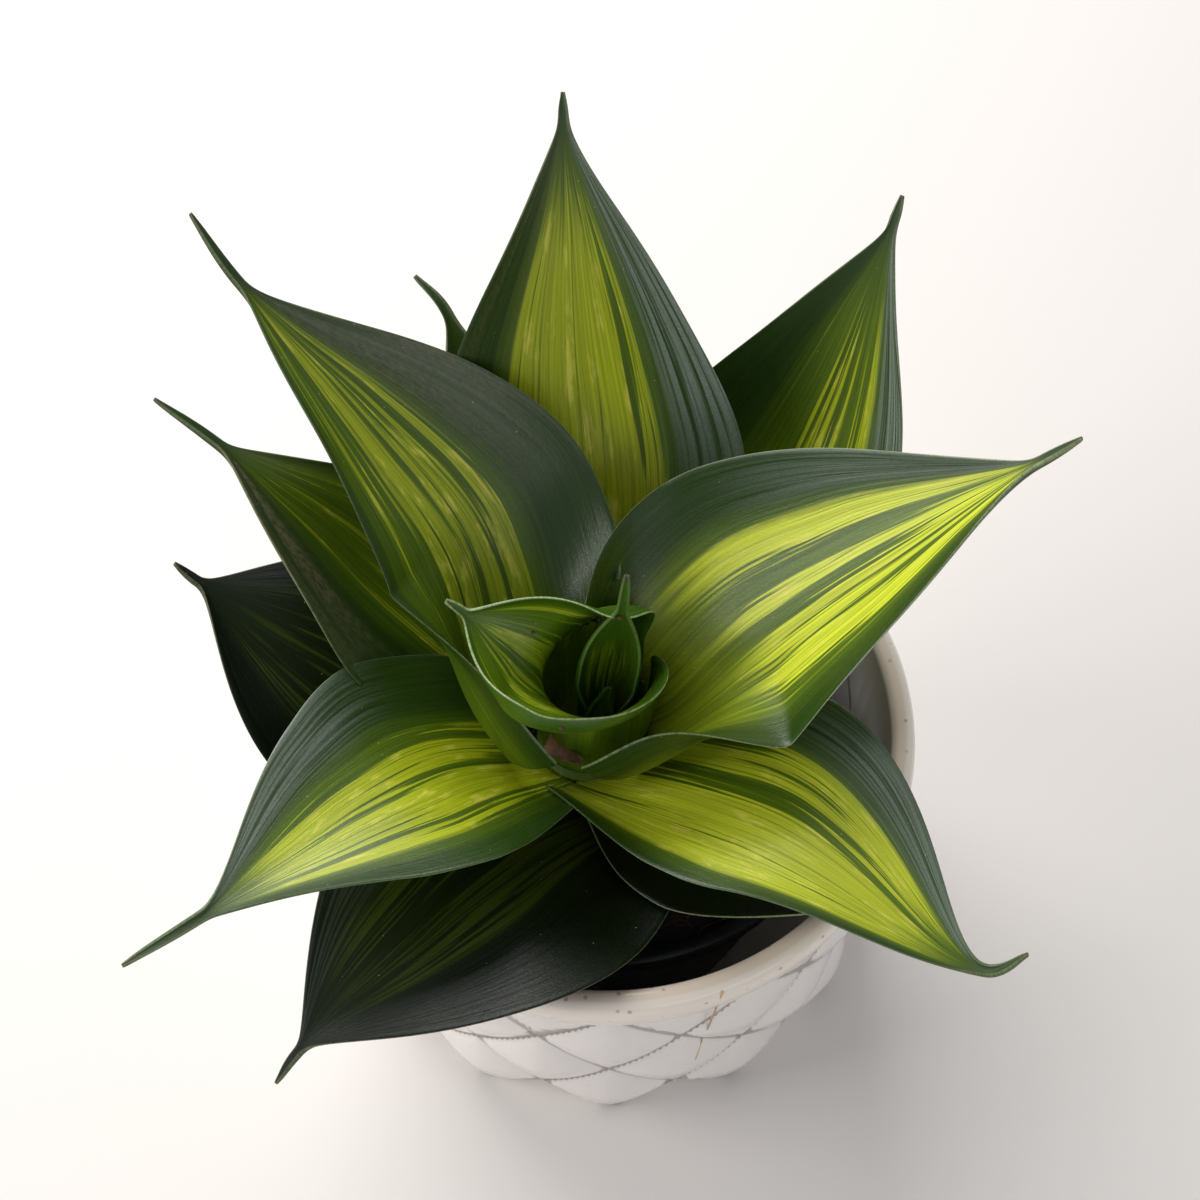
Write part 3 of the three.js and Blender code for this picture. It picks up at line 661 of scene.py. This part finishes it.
def leaf_material(name, look):
    """A leaf's own skin: the shared markings with its figures, and less gloss in the shade"""
    material, tree, shader = new_material(name + "_skin")
    shaded = look["glint"] == 0
    values = {key.replace("_", " ").title(): value for key, value in look.items()}
    values = {key: (*value, 1) if isinstance(value, tuple) else float(value)
              for key, value in values.items()}
    marks = tree.nodes.new("ShaderNodeGroup")
    marks.node_tree = MARKINGS
    for key, value in values.items():
        marks.inputs[key].default_value = value
    tree.links.new(marks.outputs["Color"], shader.inputs["Base Color"])
    tree.links.new(marks.outputs["Roughness"], shader.inputs["Roughness"])
    tree.links.new(bump(tree, marks.outputs["Height"], 0.35, 0.0004), shader.inputs["Normal"])
    shader.inputs["Coat Weight"].default_value = 0.05 if shaded else 0.15
    shader.inputs["Coat Roughness"].default_value = 0.25
    shader.inputs["Specular IOR Level"].default_value = 0.3 if shaded else 0.45
    return material


for leaf_name, leaf_shape in LEAVES.items():
    leaf_piece(leaf_name, leaf_shape, leaf_material(leaf_name, FINISHES[leaf_name]))


# Ceramic pot: a lathe-turned wall whose diamonds swell between painted grooves

POT_SIDES = 288
STEPS_ROUND = 24
LEVEL_HEIGHTS = [0, 14, 27.5, 43, 59]
LEVEL_NUMBERS = [4, 3, 2, 1, 0]
GROOVE_RADII = [49.8, 50.9, 51.8, 52.5, 53.6]
ROWS_PER_LEVEL = 12
DIAMOND_SWELL = 2.2
FOOT_LOBE_DEPTH = 4.8
GROOVE_DEPTH = 0.35
GROOVE_SPACING = 20.0
CAMERA_SIDE_ANGLE = -math.pi / 2
INNER_WALL_LIMIT = 48.5
FOOT_RING_SHARE = 0.9
BAND_PROFILE = [
    (54, 60), (54.8, 61.2), (55.6, 62.5), (56.3, 64.2), (56.8, 66), (57.3, 68.2), (57.5, 70),
    (57.5, 71.4), (57.25, 72.6), (56.7, 73.4), (55.9, 73.85), (54.9, 74), (54, 73.9), (53.4, 73.6),
    (53, 73), (52.9, 72), (52.3, 65), (50.5, 45), (47.5, 20), (45.3, 8), (44.5, 5.9), (43, 5),
    (20, 5), (0, 5)]


def lathe(name, profile, sides):
    """Spins a profile of (radius, height) in millimetres round the upright axis"""
    deselect()
    bpy.ops.mesh.primitive_plane_add(size=MM)
    piece = bpy.context.object
    piece.name = name
    bpy.ops.object.mode_set(mode="EDIT")
    bpy.ops.mesh.select_mode(type="VERT")
    bpy.ops.mesh.select_all(action="SELECT")
    bpy.ops.mesh.merge(type="CENTER")
    bpy.ops.transform.translate(value=(profile[0][0] * MM, 0, profile[0][1] * MM))
    for (radius, height), (next_radius, next_height) in zip(profile, profile[1:]):
        step = ((next_radius - radius) * MM, 0, (next_height - height) * MM)
        bpy.ops.mesh.extrude_region_move(TRANSFORM_OT_translate={"value": step})
    bpy.ops.mesh.select_all(action="SELECT")
    bpy.ops.mesh.spin(steps=sides, angle=2 * math.pi, center=(0, 0, 0), axis=(0, 0, 1))
    bpy.ops.mesh.select_all(action="SELECT")
    bpy.ops.mesh.remove_doubles(threshold=0.002 * MM)
    bpy.ops.mesh.normals_make_consistent(inside=False)
    bpy.ops.object.mode_set(mode="OBJECT")
    return piece


def lattice_place(point):
    """Where a point of the wall is on the diamond lattice: steps round and levels down"""
    angle = math.atan2(point.y, point.x) - CAMERA_SIDE_ANGLE
    steps = angle / (2 * math.pi) * STEPS_ROUND % STEPS_ROUND
    level = float(np.interp(point.z / MM, LEVEL_HEIGHTS, LEVEL_NUMBERS))
    return steps, level - max(point.z / MM - LEVEL_HEIGHTS[-1], 0) / 15


def diamond_relief(steps, level):
    """How far the wall stands out here from its grooves, in millimetres"""
    one, two = (steps - level) / 2, (steps + level) / 2
    a, b = 2 * (one % 1) - 1, 2 * (two % 1) - 1
    level_of_centre = round(math.floor(two) - math.floor(one))
    dome = (1 - a * a) * (1 - b * b)
    pyramid = 1 - max(abs(a), abs(b))
    swell = 0.62 * dome + 0.38 * pyramid
    groove = -GROOVE_DEPTH * (1 - smooth_step(pyramid, 0, 0.12))
    if level_of_centre == 0:
        return groove
    if level_of_centre >= 4:
        return groove - FOOT_LOBE_DEPTH * pyramid
    return groove + DIAMOND_SWELL * swell


def painted_grooves(tree, steps, level):
    """Masks of the grey wash above each groove of the lattice and of the fine line in it"""
    one = calc(tree, "MULTIPLY", calc(tree, "SUBTRACT", steps, level), 0.5)
    two = calc(tree, "MULTIPLY", calc(tree, "ADD", steps, level), 0.5)
    wash, line = 0.0, 0.0
    for across, along, rises, shift in ((one, two, True, 0.0), (two, one, False, 7.0)):
        local = calc(tree, "FRACT", across)
        below = calc(tree, "MULTIPLY", local, GROOVE_SPACING)
        above = calc(tree, "MULTIPLY_ADD", local, -GROOVE_SPACING, GROOVE_SPACING)
        up, down = (below, above) if rises else (above, below)
        row = calc(tree, "FLOOR", calc(tree, "ADD", across, 0.5))
        own_row = calc(tree, "ADD", row, 0.37)
        leaning = calc(tree, "MULTIPLY_ADD", up, 0.9, calc(tree, "MULTIPLY", along, 15.0))
        stroke = noise(tree, vector(tree, leaning, own_row, shift + 0.4), 1, 3.0, 0.7)
        slow = calc(tree, "MULTIPLY", along, 1.7)
        body = noise(tree, vector(tree, slow, own_row, shift + 3.6), 1, 1.0)
        width = calc(tree, "MULTIPLY_ADD", ramp(tree, body, 0.35, 0.65), 1.3, 1.1)
        width = calc(tree, "MULTIPLY", width, ramp(tree, stroke, 0.3, 0.7, 0.7, 1.35))
        feather = calc(tree, "DIVIDE", up, width)
        wash = calc(tree, "MAXIMUM", wash, ramp(tree, feather, 0.8, 1.1, 1.0, 0.0))
        crisp = calc(tree, "MINIMUM", up, down)
        line = calc(tree, "MAXIMUM", line, ramp(tree, crisp, 0.1, 0.45, 1.0, 0.0))
    return wash, line


def glaze():
    """White glaze with painted grooves, a cream band, a beige rim top and small brown specks"""
    material, tree, shader = new_material("white_glaze")
    wall = add_node(tree, "ShaderNodeUVMap", uv_map="wall").outputs[0]
    u, v, _ = parts_of(tree, wall)
    wash, line = painted_grooves(
        tree, calc(tree, "MULTIPLY", u, float(STEPS_ROUND)), calc(tree, "MULTIPLY", v, 4.0))
    place = add_node(tree, "ShaderNodeTexCoord").outputs["Object"]
    x, y, z = parts_of(tree, place)
    radius = calc(tree, "SQRT", calc(tree, "ADD", calc(tree, "MULTIPLY", x, x),
                                     calc(tree, "MULTIPLY", y, y)))
    on_wall = ramp(tree, z, 0.0565, 0.0585, 1.0, 0.0)
    outside = ramp(tree, radius, 0.046, 0.047)
    drawn = calc(tree, "MULTIPLY", on_wall, outside)
    tone = noise(tree, place, 70.0, 3.0)
    colour = mix(tree, tone, (0.84, 0.79, 0.76), (0.9, 0.86, 0.83))
    colour = mix(tree, ramp(tree, z, 0.06, 0.066), colour, (0.9, 0.82, 0.73))
    top = calc(tree, "MULTIPLY", ramp(tree, z, 0.0733, 0.0738),
               ramp(tree, radius, 0.0552, 0.0562, 1.0, 0.0))
    colour = mix(tree, top, colour, (0.78, 0.66, 0.55))
    wash_tone = noise(tree, place, 400.0, 2.0)
    wash_strength = calc(tree, "MULTIPLY", calc(tree, "MULTIPLY", wash, drawn),
                         ramp(tree, wash_tone, 0.3, 0.7, 0.72, 0.98))
    colour = mix(tree, wash_strength, colour, (0.3, 0.265, 0.235))
    colour = mix(tree, calc(tree, "MULTIPLY", calc(tree, "MULTIPLY", line, drawn), 0.6), colour,
                 (0.24, 0.21, 0.18))
    speckle = add_node(tree, "ShaderNodeTexVoronoi", {"Vector": place, "Scale": 520.0})
    chosen = parts_of(tree, speckle.outputs["Color"])[0]
    speck = calc(tree, "MULTIPLY", ramp(tree, speckle.outputs["Distance"], 0.12, 0.3, 1.0, 0.0),
                 ramp(tree, chosen, 0.72, 0.76))
    speck_share = calc(tree, "MULTIPLY", speck, ramp(tree, z, 0.066, 0.0738, 0.08, 0.75))
    colour = mix(tree, speck_share, colour, (0.36, 0.24, 0.15))
    tree.links.new(colour, shader.inputs["Base Color"])
    rough = calc(tree, "MULTIPLY_ADD", top, 0.3, 0.2)
    rough = calc(tree, "MULTIPLY_ADD", wash_strength, 0.25, rough)
    tree.links.new(rough, shader.inputs["Roughness"])
    height = calc(tree, "MULTIPLY_ADD", noise(tree, place, 180.0, 2.0), 0.5,
                  calc(tree, "MULTIPLY", speck_share, -0.6))
    tree.links.new(bump(tree, height, 0.15, 0.0004), shader.inputs["Normal"])
    shader.inputs["Coat Weight"].default_value = 0.4
    shader.inputs["Coat Roughness"].default_value = 0.08
    return material


def ceramic_pot():
    """A turned wall, band, rim and inside, whose outer face is then pushed out to the diamonds"""
    wall_top = LEVEL_HEIGHTS[-1]
    rows = []
    for low, high in zip(LEVEL_HEIGHTS, LEVEL_HEIGHTS[1:]):
        rows += [low + (high - low) * i / ROWS_PER_LEVEL for i in range(ROWS_PER_LEVEL)]
    wall = [(float(np.interp(z, LEVEL_HEIGHTS, GROOVE_RADII)), z) for z in rows + [wall_top]]
    pot = lathe("ceramic_pot_glazed", wall + BAND_PROFILE, POT_SIDES)
    mesh = pot.data
    coords = mesh.uv_layers[0] if mesh.uv_layers else mesh.uv_layers.new(name="wall")
    coords.name = "wall"
    for face in mesh.polygons:
        middle, _ = lattice_place(face.center)
        for loop_index in face.loop_indices:
            steps, level = lattice_place(mesh.vertices[mesh.loops[loop_index].vertex_index].co)
            steps += STEPS_ROUND * round((middle - steps) / STEPS_ROUND)
            coords.data[loop_index].uv = (steps / STEPS_ROUND, level / 4)
    for vertex in mesh.vertices:
        radius = math.hypot(vertex.co.x, vertex.co.y)
        if vertex.co.z < (wall_top - 0.1) * MM and radius > INNER_WALL_LIMIT * MM:
            grown = 1 + diamond_relief(*lattice_place(vertex.co)) * MM / radius
            vertex.co.x *= grown
            vertex.co.y *= grown
    select_edges_at(pot, 0)
    bpy.ops.mesh.extrude_region_move()
    bpy.ops.transform.resize(value=(FOOT_RING_SHARE, FOOT_RING_SHARE, 1))
    bpy.ops.mesh.extrude_region_move()
    bpy.ops.mesh.merge(type="CENTER")
    bpy.ops.mesh.select_all(action="SELECT")
    bpy.ops.mesh.normals_make_consistent(inside=False)
    bpy.ops.object.mode_set(mode="OBJECT")
    return finish_piece(pot, glaze(), replaces="ceramic_pot", smooth_angle=75)


glazed_pot = ceramic_pot()


# Nursery pot, potting mix and what lies on them

NURSERY_PROFILE = [
    (0, 5.3), (29.8, 5.3), (31, 6.2), (42.9, 58.4), (43.3, 59), (44.3, 59), (44.5, 59.4),
    (44.5, 62.3), (44.2, 62.8), (43.6, 63), (42.6, 63), (42, 62.8), (41.8, 62.3), (41.8, 59),
    (30.2, 7), (29.4, 6.5), (0, 6.5)]
DRAIN_HOLES = 6
DRAIN_HOLE_RADIUS = 4
DRAIN_HOLE_CIRCLE = 20
MIX_TOP = 58
MIX_EDGE_RADIUS = 40.9
MIX_EDGE_DROP = 2
MIX_FLOOR = 6.8
MIX_SIDES = 160
MIX_RINGS = 42
CROWN_PLACE = (-4, -3)
CROWN_HOLE_RADIUS = 8.8
CROWN_HOLE_FLOOR = 44.7


def cut_out(piece, tool):
    """Cuts a tool's shape out of a piece and removes the tool"""
    apply_modifier(piece, "BOOLEAN", object=tool, operation="DIFFERENCE", solver="EXACT")
    bpy.data.objects.remove(tool)


def drill(radius, low, high, x, y):
    """An upright round tool between two heights, in millimetres"""
    deselect()
    bpy.ops.mesh.primitive_cylinder_add(
        vertices=36, radius=radius * MM, depth=(high - low) * MM,
        location=(x * MM, y * MM, (low + high) / 2 * MM))
    return bpy.context.object


def speckled(name, dark, light, roughness, scale, strength, distance):
    """A material of two tones broken up by grain, with relief to match"""
    material, tree, shader = new_material(name)
    place = add_node(tree, "ShaderNodeTexCoord").outputs["Object"]
    grain = noise(tree, place, scale, 4.0, 0.65)
    patches = noise(tree, place, scale * 0.18, 2.0)
    share = calc(tree, "MULTIPLY_ADD", patches, 0.5, calc(tree, "MULTIPLY", grain, 0.5))
    tree.links.new(mix(tree, ramp(tree, share, 0.38, 0.62), dark, light),
                   shader.inputs["Base Color"])
    low, high = roughness
    tree.links.new(ramp(tree, grain, 0.3, 0.7, low, high), shader.inputs["Roughness"])
    tree.links.new(bump(tree, grain, strength, distance), shader.inputs["Normal"])
    return material


def nursery_pot():
    """A thin moulded pot with a rolled lip and holes in its floor"""
    pot = lathe("nursery_pot_moulded", NURSERY_PROFILE, 144)
    for i in range(DRAIN_HOLES):
        angle = math.radians(30 + 360 / DRAIN_HOLES * i)
        cut_out(pot, drill(DRAIN_HOLE_RADIUS, 4, 8, DRAIN_HOLE_CIRCLE * math.cos(angle),
                           DRAIN_HOLE_CIRCLE * math.sin(angle)))
    plastic = speckled("black_plastic", (0.006, 0.007, 0.009), (0.012, 0.014, 0.018),
                       (0.32, 0.46), 900.0, 0.12, 0.0002)
    return finish_piece(pot, plastic, replaces="nursery_pot", smooth_angle=35)


def mix_height(x, y):
    """Height of the mix's uneven top, in millimetres"""
    swell = math.sin(0.61 * x + 1.3) * math.cos(0.53 * y - 0.4)
    return MIX_TOP + 0.8 * (swell + 0.7 * math.sin(0.93 * x - 1.17 * y + 2.1)) / 1.7


def crumb(x, y):
    """Fine lumps on the mix, in millimetres"""
    place = Vector((x, y, 0.0))
    return 0.55 * cloud.noise(place * 0.9) + 0.35 * cloud.noise(place * 2.1)


def potting_mix():
    """The mix as a turned body with a lumpy top and the crown's hole"""
    rings = [MIX_EDGE_RADIUS * i / MIX_RINGS for i in range(MIX_RINGS, -1, -1)]
    profile = [(0, MIX_FLOOR), (29.6, MIX_FLOOR), (40.6, MIX_TOP - MIX_EDGE_DROP - 1.5)]
    profile += [(radius, MIX_TOP) for radius in rings]
    body = lathe("potting_mix_crumbs", profile, MIX_SIDES)
    for vertex in body.data.vertices:
        x, y, z = vertex.co / MM
        if z > MIX_TOP - 0.1:
            edge = smooth_step(math.hypot(x, y), MIX_EDGE_RADIUS - 4, MIX_EDGE_RADIUS)
            height = mix_height(x, y) - MIX_EDGE_DROP * edge + crumb(x, y) * (1 - edge)
            vertex.co.z = height * MM
    cut_out(body, drill(CROWN_HOLE_RADIUS, CROWN_HOLE_FLOOR, MIX_TOP + 6, *CROWN_PLACE))
    crumbs = speckled("coir_mix", (0.006, 0.004, 0.003), (0.035, 0.02, 0.013),
                      (0.8, 0.95), 650.0, 0.9, 0.0008)
    return finish_piece(body, crumbs, replaces="potting_mix", smooth_angle=50)


def tube(name, points, radius, ends=0.35):
    """A thin tapered tube through points in metres"""
    deselect()
    bpy.ops.curve.primitive_nurbs_path_add()
    piece = bpy.context.object
    piece.name = name
    curve = piece.data
    curve.splines.clear()
    line = curve.splines.new("POLY")
    line.points.add(len(points) - 1)
    for i, point in enumerate(points):
        line.points[i].co = (*point, 1)
        share = i / (len(points) - 1)
        line.points[i].radius = 1 - (1 - ends) * abs(2 * share - 1) ** 2
    curve.bevel_depth = radius
    curve.bevel_resolution = 0
    curve.use_fill_caps = True
    pick(piece)
    bpy.ops.object.convert(target="MESH")
    return bpy.context.object


def joined(name, pieces):
    """One piece made of several"""
    deselect()
    for piece in pieces:
        piece.select_set(True)
    bpy.context.view_layer.objects.active = pieces[0]
    bpy.ops.object.join()
    whole = bpy.context.object
    whole.name = name
    return whole


FIBRE_KINDS = 6
FIBRES = 320
FIBRE_STEPS = 8
FIBRE_RADIUS = 0.09
LIP_FIBRE_EVERY = 8
LIP_FIBRE_LIFT = 3.2
LIP_FIBRE_TILT = 0.75
LIP_FIBRE_LENGTH = 1.1


def fibre_templates(draw):
    """A few short curled fibres, each about its own middle"""
    templates = []
    for kind in range(FIBRE_KINDS):
        bend = draw.uniform(0.5, 2.2)
        twist = draw.uniform(-1.2, 1.2)
        points = []
        place = Vector((0, 0, 0))
        for step in range(FIBRE_STEPS + 1):
            points.append(place.copy() * MM)
            share = step / FIBRE_STEPS
            turn = bend * share + 0.4 * math.sin(7 * share + kind)
            place += Vector((math.cos(turn), math.sin(turn), 0.25 * math.sin(twist + 5 * share)))
        middle = sum(points, Vector()) / len(points)
        points = [point - middle for point in points]
        templates.append(tube("fibre_template", points, FIBRE_RADIUS * MM))
    return templates


def coir_fibres():
    """Curled fibres strewn over the mix, a few of them reaching up to the black lip"""
    draw = random.Random(41)
    templates = fibre_templates(draw)
    copies = []
    for number in range(FIBRES):
        source = templates[number % FIBRE_KINDS]
        copy = link(source.copy())
        copy.data = source.data.copy()
        angle = draw.uniform(0, 2 * math.pi)
        radius = math.sqrt(draw.uniform(11 ** 2, 39.5 ** 2))
        length = draw.uniform(0.7, 1.5)
        lift = draw.uniform(0.2, 0.9)
        tilt = draw.uniform(-0.14, 0.14)
        if number % LIP_FIBRE_EVERY == 0:
            radius = draw.uniform(36.5, 38.5)
            lift, tilt, length = LIP_FIBRE_LIFT, LIP_FIBRE_TILT, LIP_FIBRE_LENGTH
            heading = angle
        else:
            heading = draw.uniform(0, 2 * math.pi)
        x, y = radius * math.cos(angle), radius * math.sin(angle)
        place = Matrix.Translation(Vector((x, y, mix_height(x, y) + lift)) * MM)
        turn = Matrix.Rotation(heading, 4, "Z") @ Matrix.Rotation(-tilt, 4, "Y")
        copy.data.transform(place @ turn @ Matrix.Scale(length, 4))
        copies.append(copy)
    for template in templates:
        bpy.data.objects.remove(template)
    fibres = joined("coir_fibres", copies)
    husk = speckled("coir_fibre", (0.07, 0.03, 0.015), (0.2, 0.09, 0.045),
                    (0.6, 0.8), 500.0, 0.2, 0.0001)
    return finish_piece(fibres, husk)


def seen_at(x, y, pieces):
    """The nearest place on the pieces behind a pixel of the photograph, and its normal"""
    half = SENSOR / LENS / PHOTO_SIDE
    aim = Vector(((x - PHOTO_SIDE / 2) * half, (PHOTO_SIDE / 2 - y) * half, -1))
    aim = (Matrix.Rotation(CAMERA_TILT, 3, "X") @ aim).normalized()
    hits = []
    for piece in pieces:
        found, place, normal, _ = piece.ray_cast(CAMERA_PLACE, aim)
        if found:
            hits.append(((place - CAMERA_PLACE).length, place, normal))
    return min(hits, key=lambda hit: hit[0])[1:] if hits else None


# The straw-coloured fibre's route, in pixels of the photograph
STRAW_ROUTE = [
    (716, 900), (723, 918), (726, 966), (722, 991), (715, 1008), (708, 1026), (701, 1039),
    (695, 1059), (688, 1081)]
STRAW_STEPS = 6
STRAW_RADIUS = 0.2
STRAW_LIFT = 0.3


def straw_fibre(pieces):
    """One pale fibre that comes out of the mix, over the lip and the rim and down the wall"""
    corners = []
    for x, y in STRAW_ROUTE:
        found = seen_at(x, y, pieces)
        if found:
            corners.append(found[0] + found[1] * STRAW_LIFT * MM)
    steps = STRAW_STEPS * (len(corners) - 1)
    points = [rib_point(corners, i / steps) for i in range(steps + 1)]
    fibre = tube("straw_fibre", points, STRAW_RADIUS * MM, ends=0.4)
    straw = speckled("straw", (0.42, 0.26, 0.12), (0.72, 0.52, 0.29), (0.45, 0.6), 300.0,
                     0.2, 0.0001)
    return finish_piece(fibre, straw, smooth_angle=80)


# The dried scale's place in the photograph, in pixels, and its size
SCALE_SPOT = (565, 752)
SCALE_HALF_LENGTH = 3.8
SCALE_HALF_WIDTH = 1.9


def dried_scale(pieces):
    """A brown papery scale left at the foot of the young leaves"""
    place, _ = seen_at(*SCALE_SPOT, pieces)
    deselect()
    bpy.ops.mesh.primitive_grid_add(x_subdivisions=14, y_subdivisions=8, size=2)
    flake = bpy.context.object
    flake.name = "dried_scale"
    for vertex in flake.data.vertices:
        across, along = vertex.co.y, vertex.co.x
        width = SCALE_HALF_WIDTH * (1 - 0.72 * ((along + 1) / 2) ** 1.5)
        rough = 0.18 * cloud.noise(Vector((along * 5, across * 3, 2.0)))
        cupped = 0.9 * across ** 2 + 0.5 * along ** 2
        vertex.co = Vector((along * SCALE_HALF_LENGTH, across * width + rough, cupped + rough))
    turn = Matrix.Rotation(math.radians(-32), 4, "Z") @ Matrix.Rotation(math.radians(28), 4, "X")
    lifted = place + Vector((0, -0.5, 0.866)) * 0.7 * MM
    flake.data.transform(Matrix.Translation(lifted) @ turn @ Matrix.Scale(MM, 4))
    apply_modifier(flake, "SOLIDIFY", thickness=0.25 * MM, offset=0)
    husk = speckled("dried_husk", (0.07, 0.03, 0.012), (0.24, 0.13, 0.06), (0.6, 0.8), 420.0,
                    0.4, 0.0002)
    return finish_piece(flake, husk, smooth_angle=60)


# Each crumb's place in the photograph, in pixels, and its radius
SPECKS = [(533, 632, 0.35), (619, 616, 0.5), (562, 727, 0.4), (552, 741, 0.35), (640, 700, 0.28)]


def brown_specks(pieces):
    """Crumbs of mix that lie on the young leaves"""
    draw = random.Random(7)
    crumbs = []
    for x, y, radius in SPECKS:
        place, normal = seen_at(x, y, pieces)
        deselect()
        bpy.ops.mesh.primitive_ico_sphere_add(subdivisions=2, radius=radius * MM)
        crumb_piece = bpy.context.object
        for vertex in crumb_piece.data.vertices:
            vertex.co *= 1 + draw.uniform(-0.2, 0.2)
        seat = place + normal * radius * 0.45 * MM
        crumb_piece.data.transform(Matrix.Translation(seat) @ Matrix.Diagonal((1.2, 1, 0.7, 1)))
        crumbs.append(crumb_piece)
    specks = joined("brown_specks", crumbs)
    tone = speckled("brown_crumb", (0.05, 0.022, 0.01), (0.16, 0.08, 0.04), (0.7, 0.9), 900.0,
                    0.3, 0.0001)
    return finish_piece(specks, tone, smooth_angle=80)


def crown_material():
    """Pale waxy green of the leaf sheaths round the crown"""
    material, tree, shader = new_material("crown_green")
    place = add_node(tree, "ShaderNodeTexCoord").outputs["Object"]
    x, y, z = parts_of(tree, place)
    ribs = noise(tree, vector(tree, calc(tree, "MULTIPLY", x, 900.0),
                              calc(tree, "MULTIPLY", y, 900.0),
                              calc(tree, "MULTIPLY", z, 60.0)), 1.0, 2.0)
    low = mix(tree, ribs, (0.2, 0.24, 0.06), (0.34, 0.36, 0.12))
    high = mix(tree, ribs, (0.06, 0.12, 0.01), (0.12, 0.2, 0.02))
    colour = mix(tree, ramp(tree, z, 0.058, 0.07), low, high)
    tree.links.new(colour, shader.inputs["Base Color"])
    tree.links.new(ramp(tree, ribs, 0.3, 0.7, 0.4, 0.55), shader.inputs["Roughness"])
    tree.links.new(bump(tree, ribs, 0.3, 0.0003), shader.inputs["Normal"])
    return material


inner_pot = nursery_pot()
mix_body = potting_mix()
coir_fibres()
leaf_pieces = [piece for piece in bpy.data.objects if piece.name.endswith("_blade")]
straw_fibre([mix_body, inner_pot, glazed_pot])
dried_scale(leaf_pieces)
brown_specks(leaf_pieces)
crown = frame["nodes"]["crown_stem"]
crown.data.materials.clear()
crown.data.materials.append(crown_material())


# Floor

def floor_material():
    material, tree, shader = new_material("pale_floor")
    place = add_node(tree, "ShaderNodeTexCoord").outputs["Object"]
    tone = noise(tree, place, 3.0, 2.0)
    shader_colour = mix(tree, tone, (0.84, 0.8, 0.77), (0.88, 0.85, 0.82))
    tree.links.new(shader_colour, shader.inputs["Base Color"])
    shader.inputs["Roughness"].default_value = 0.6
    return material


deselect()
bpy.ops.mesh.primitive_plane_add(size=6)
floor = bpy.context.object
floor.name = "floor"
floor.data.materials.append(floor_material())
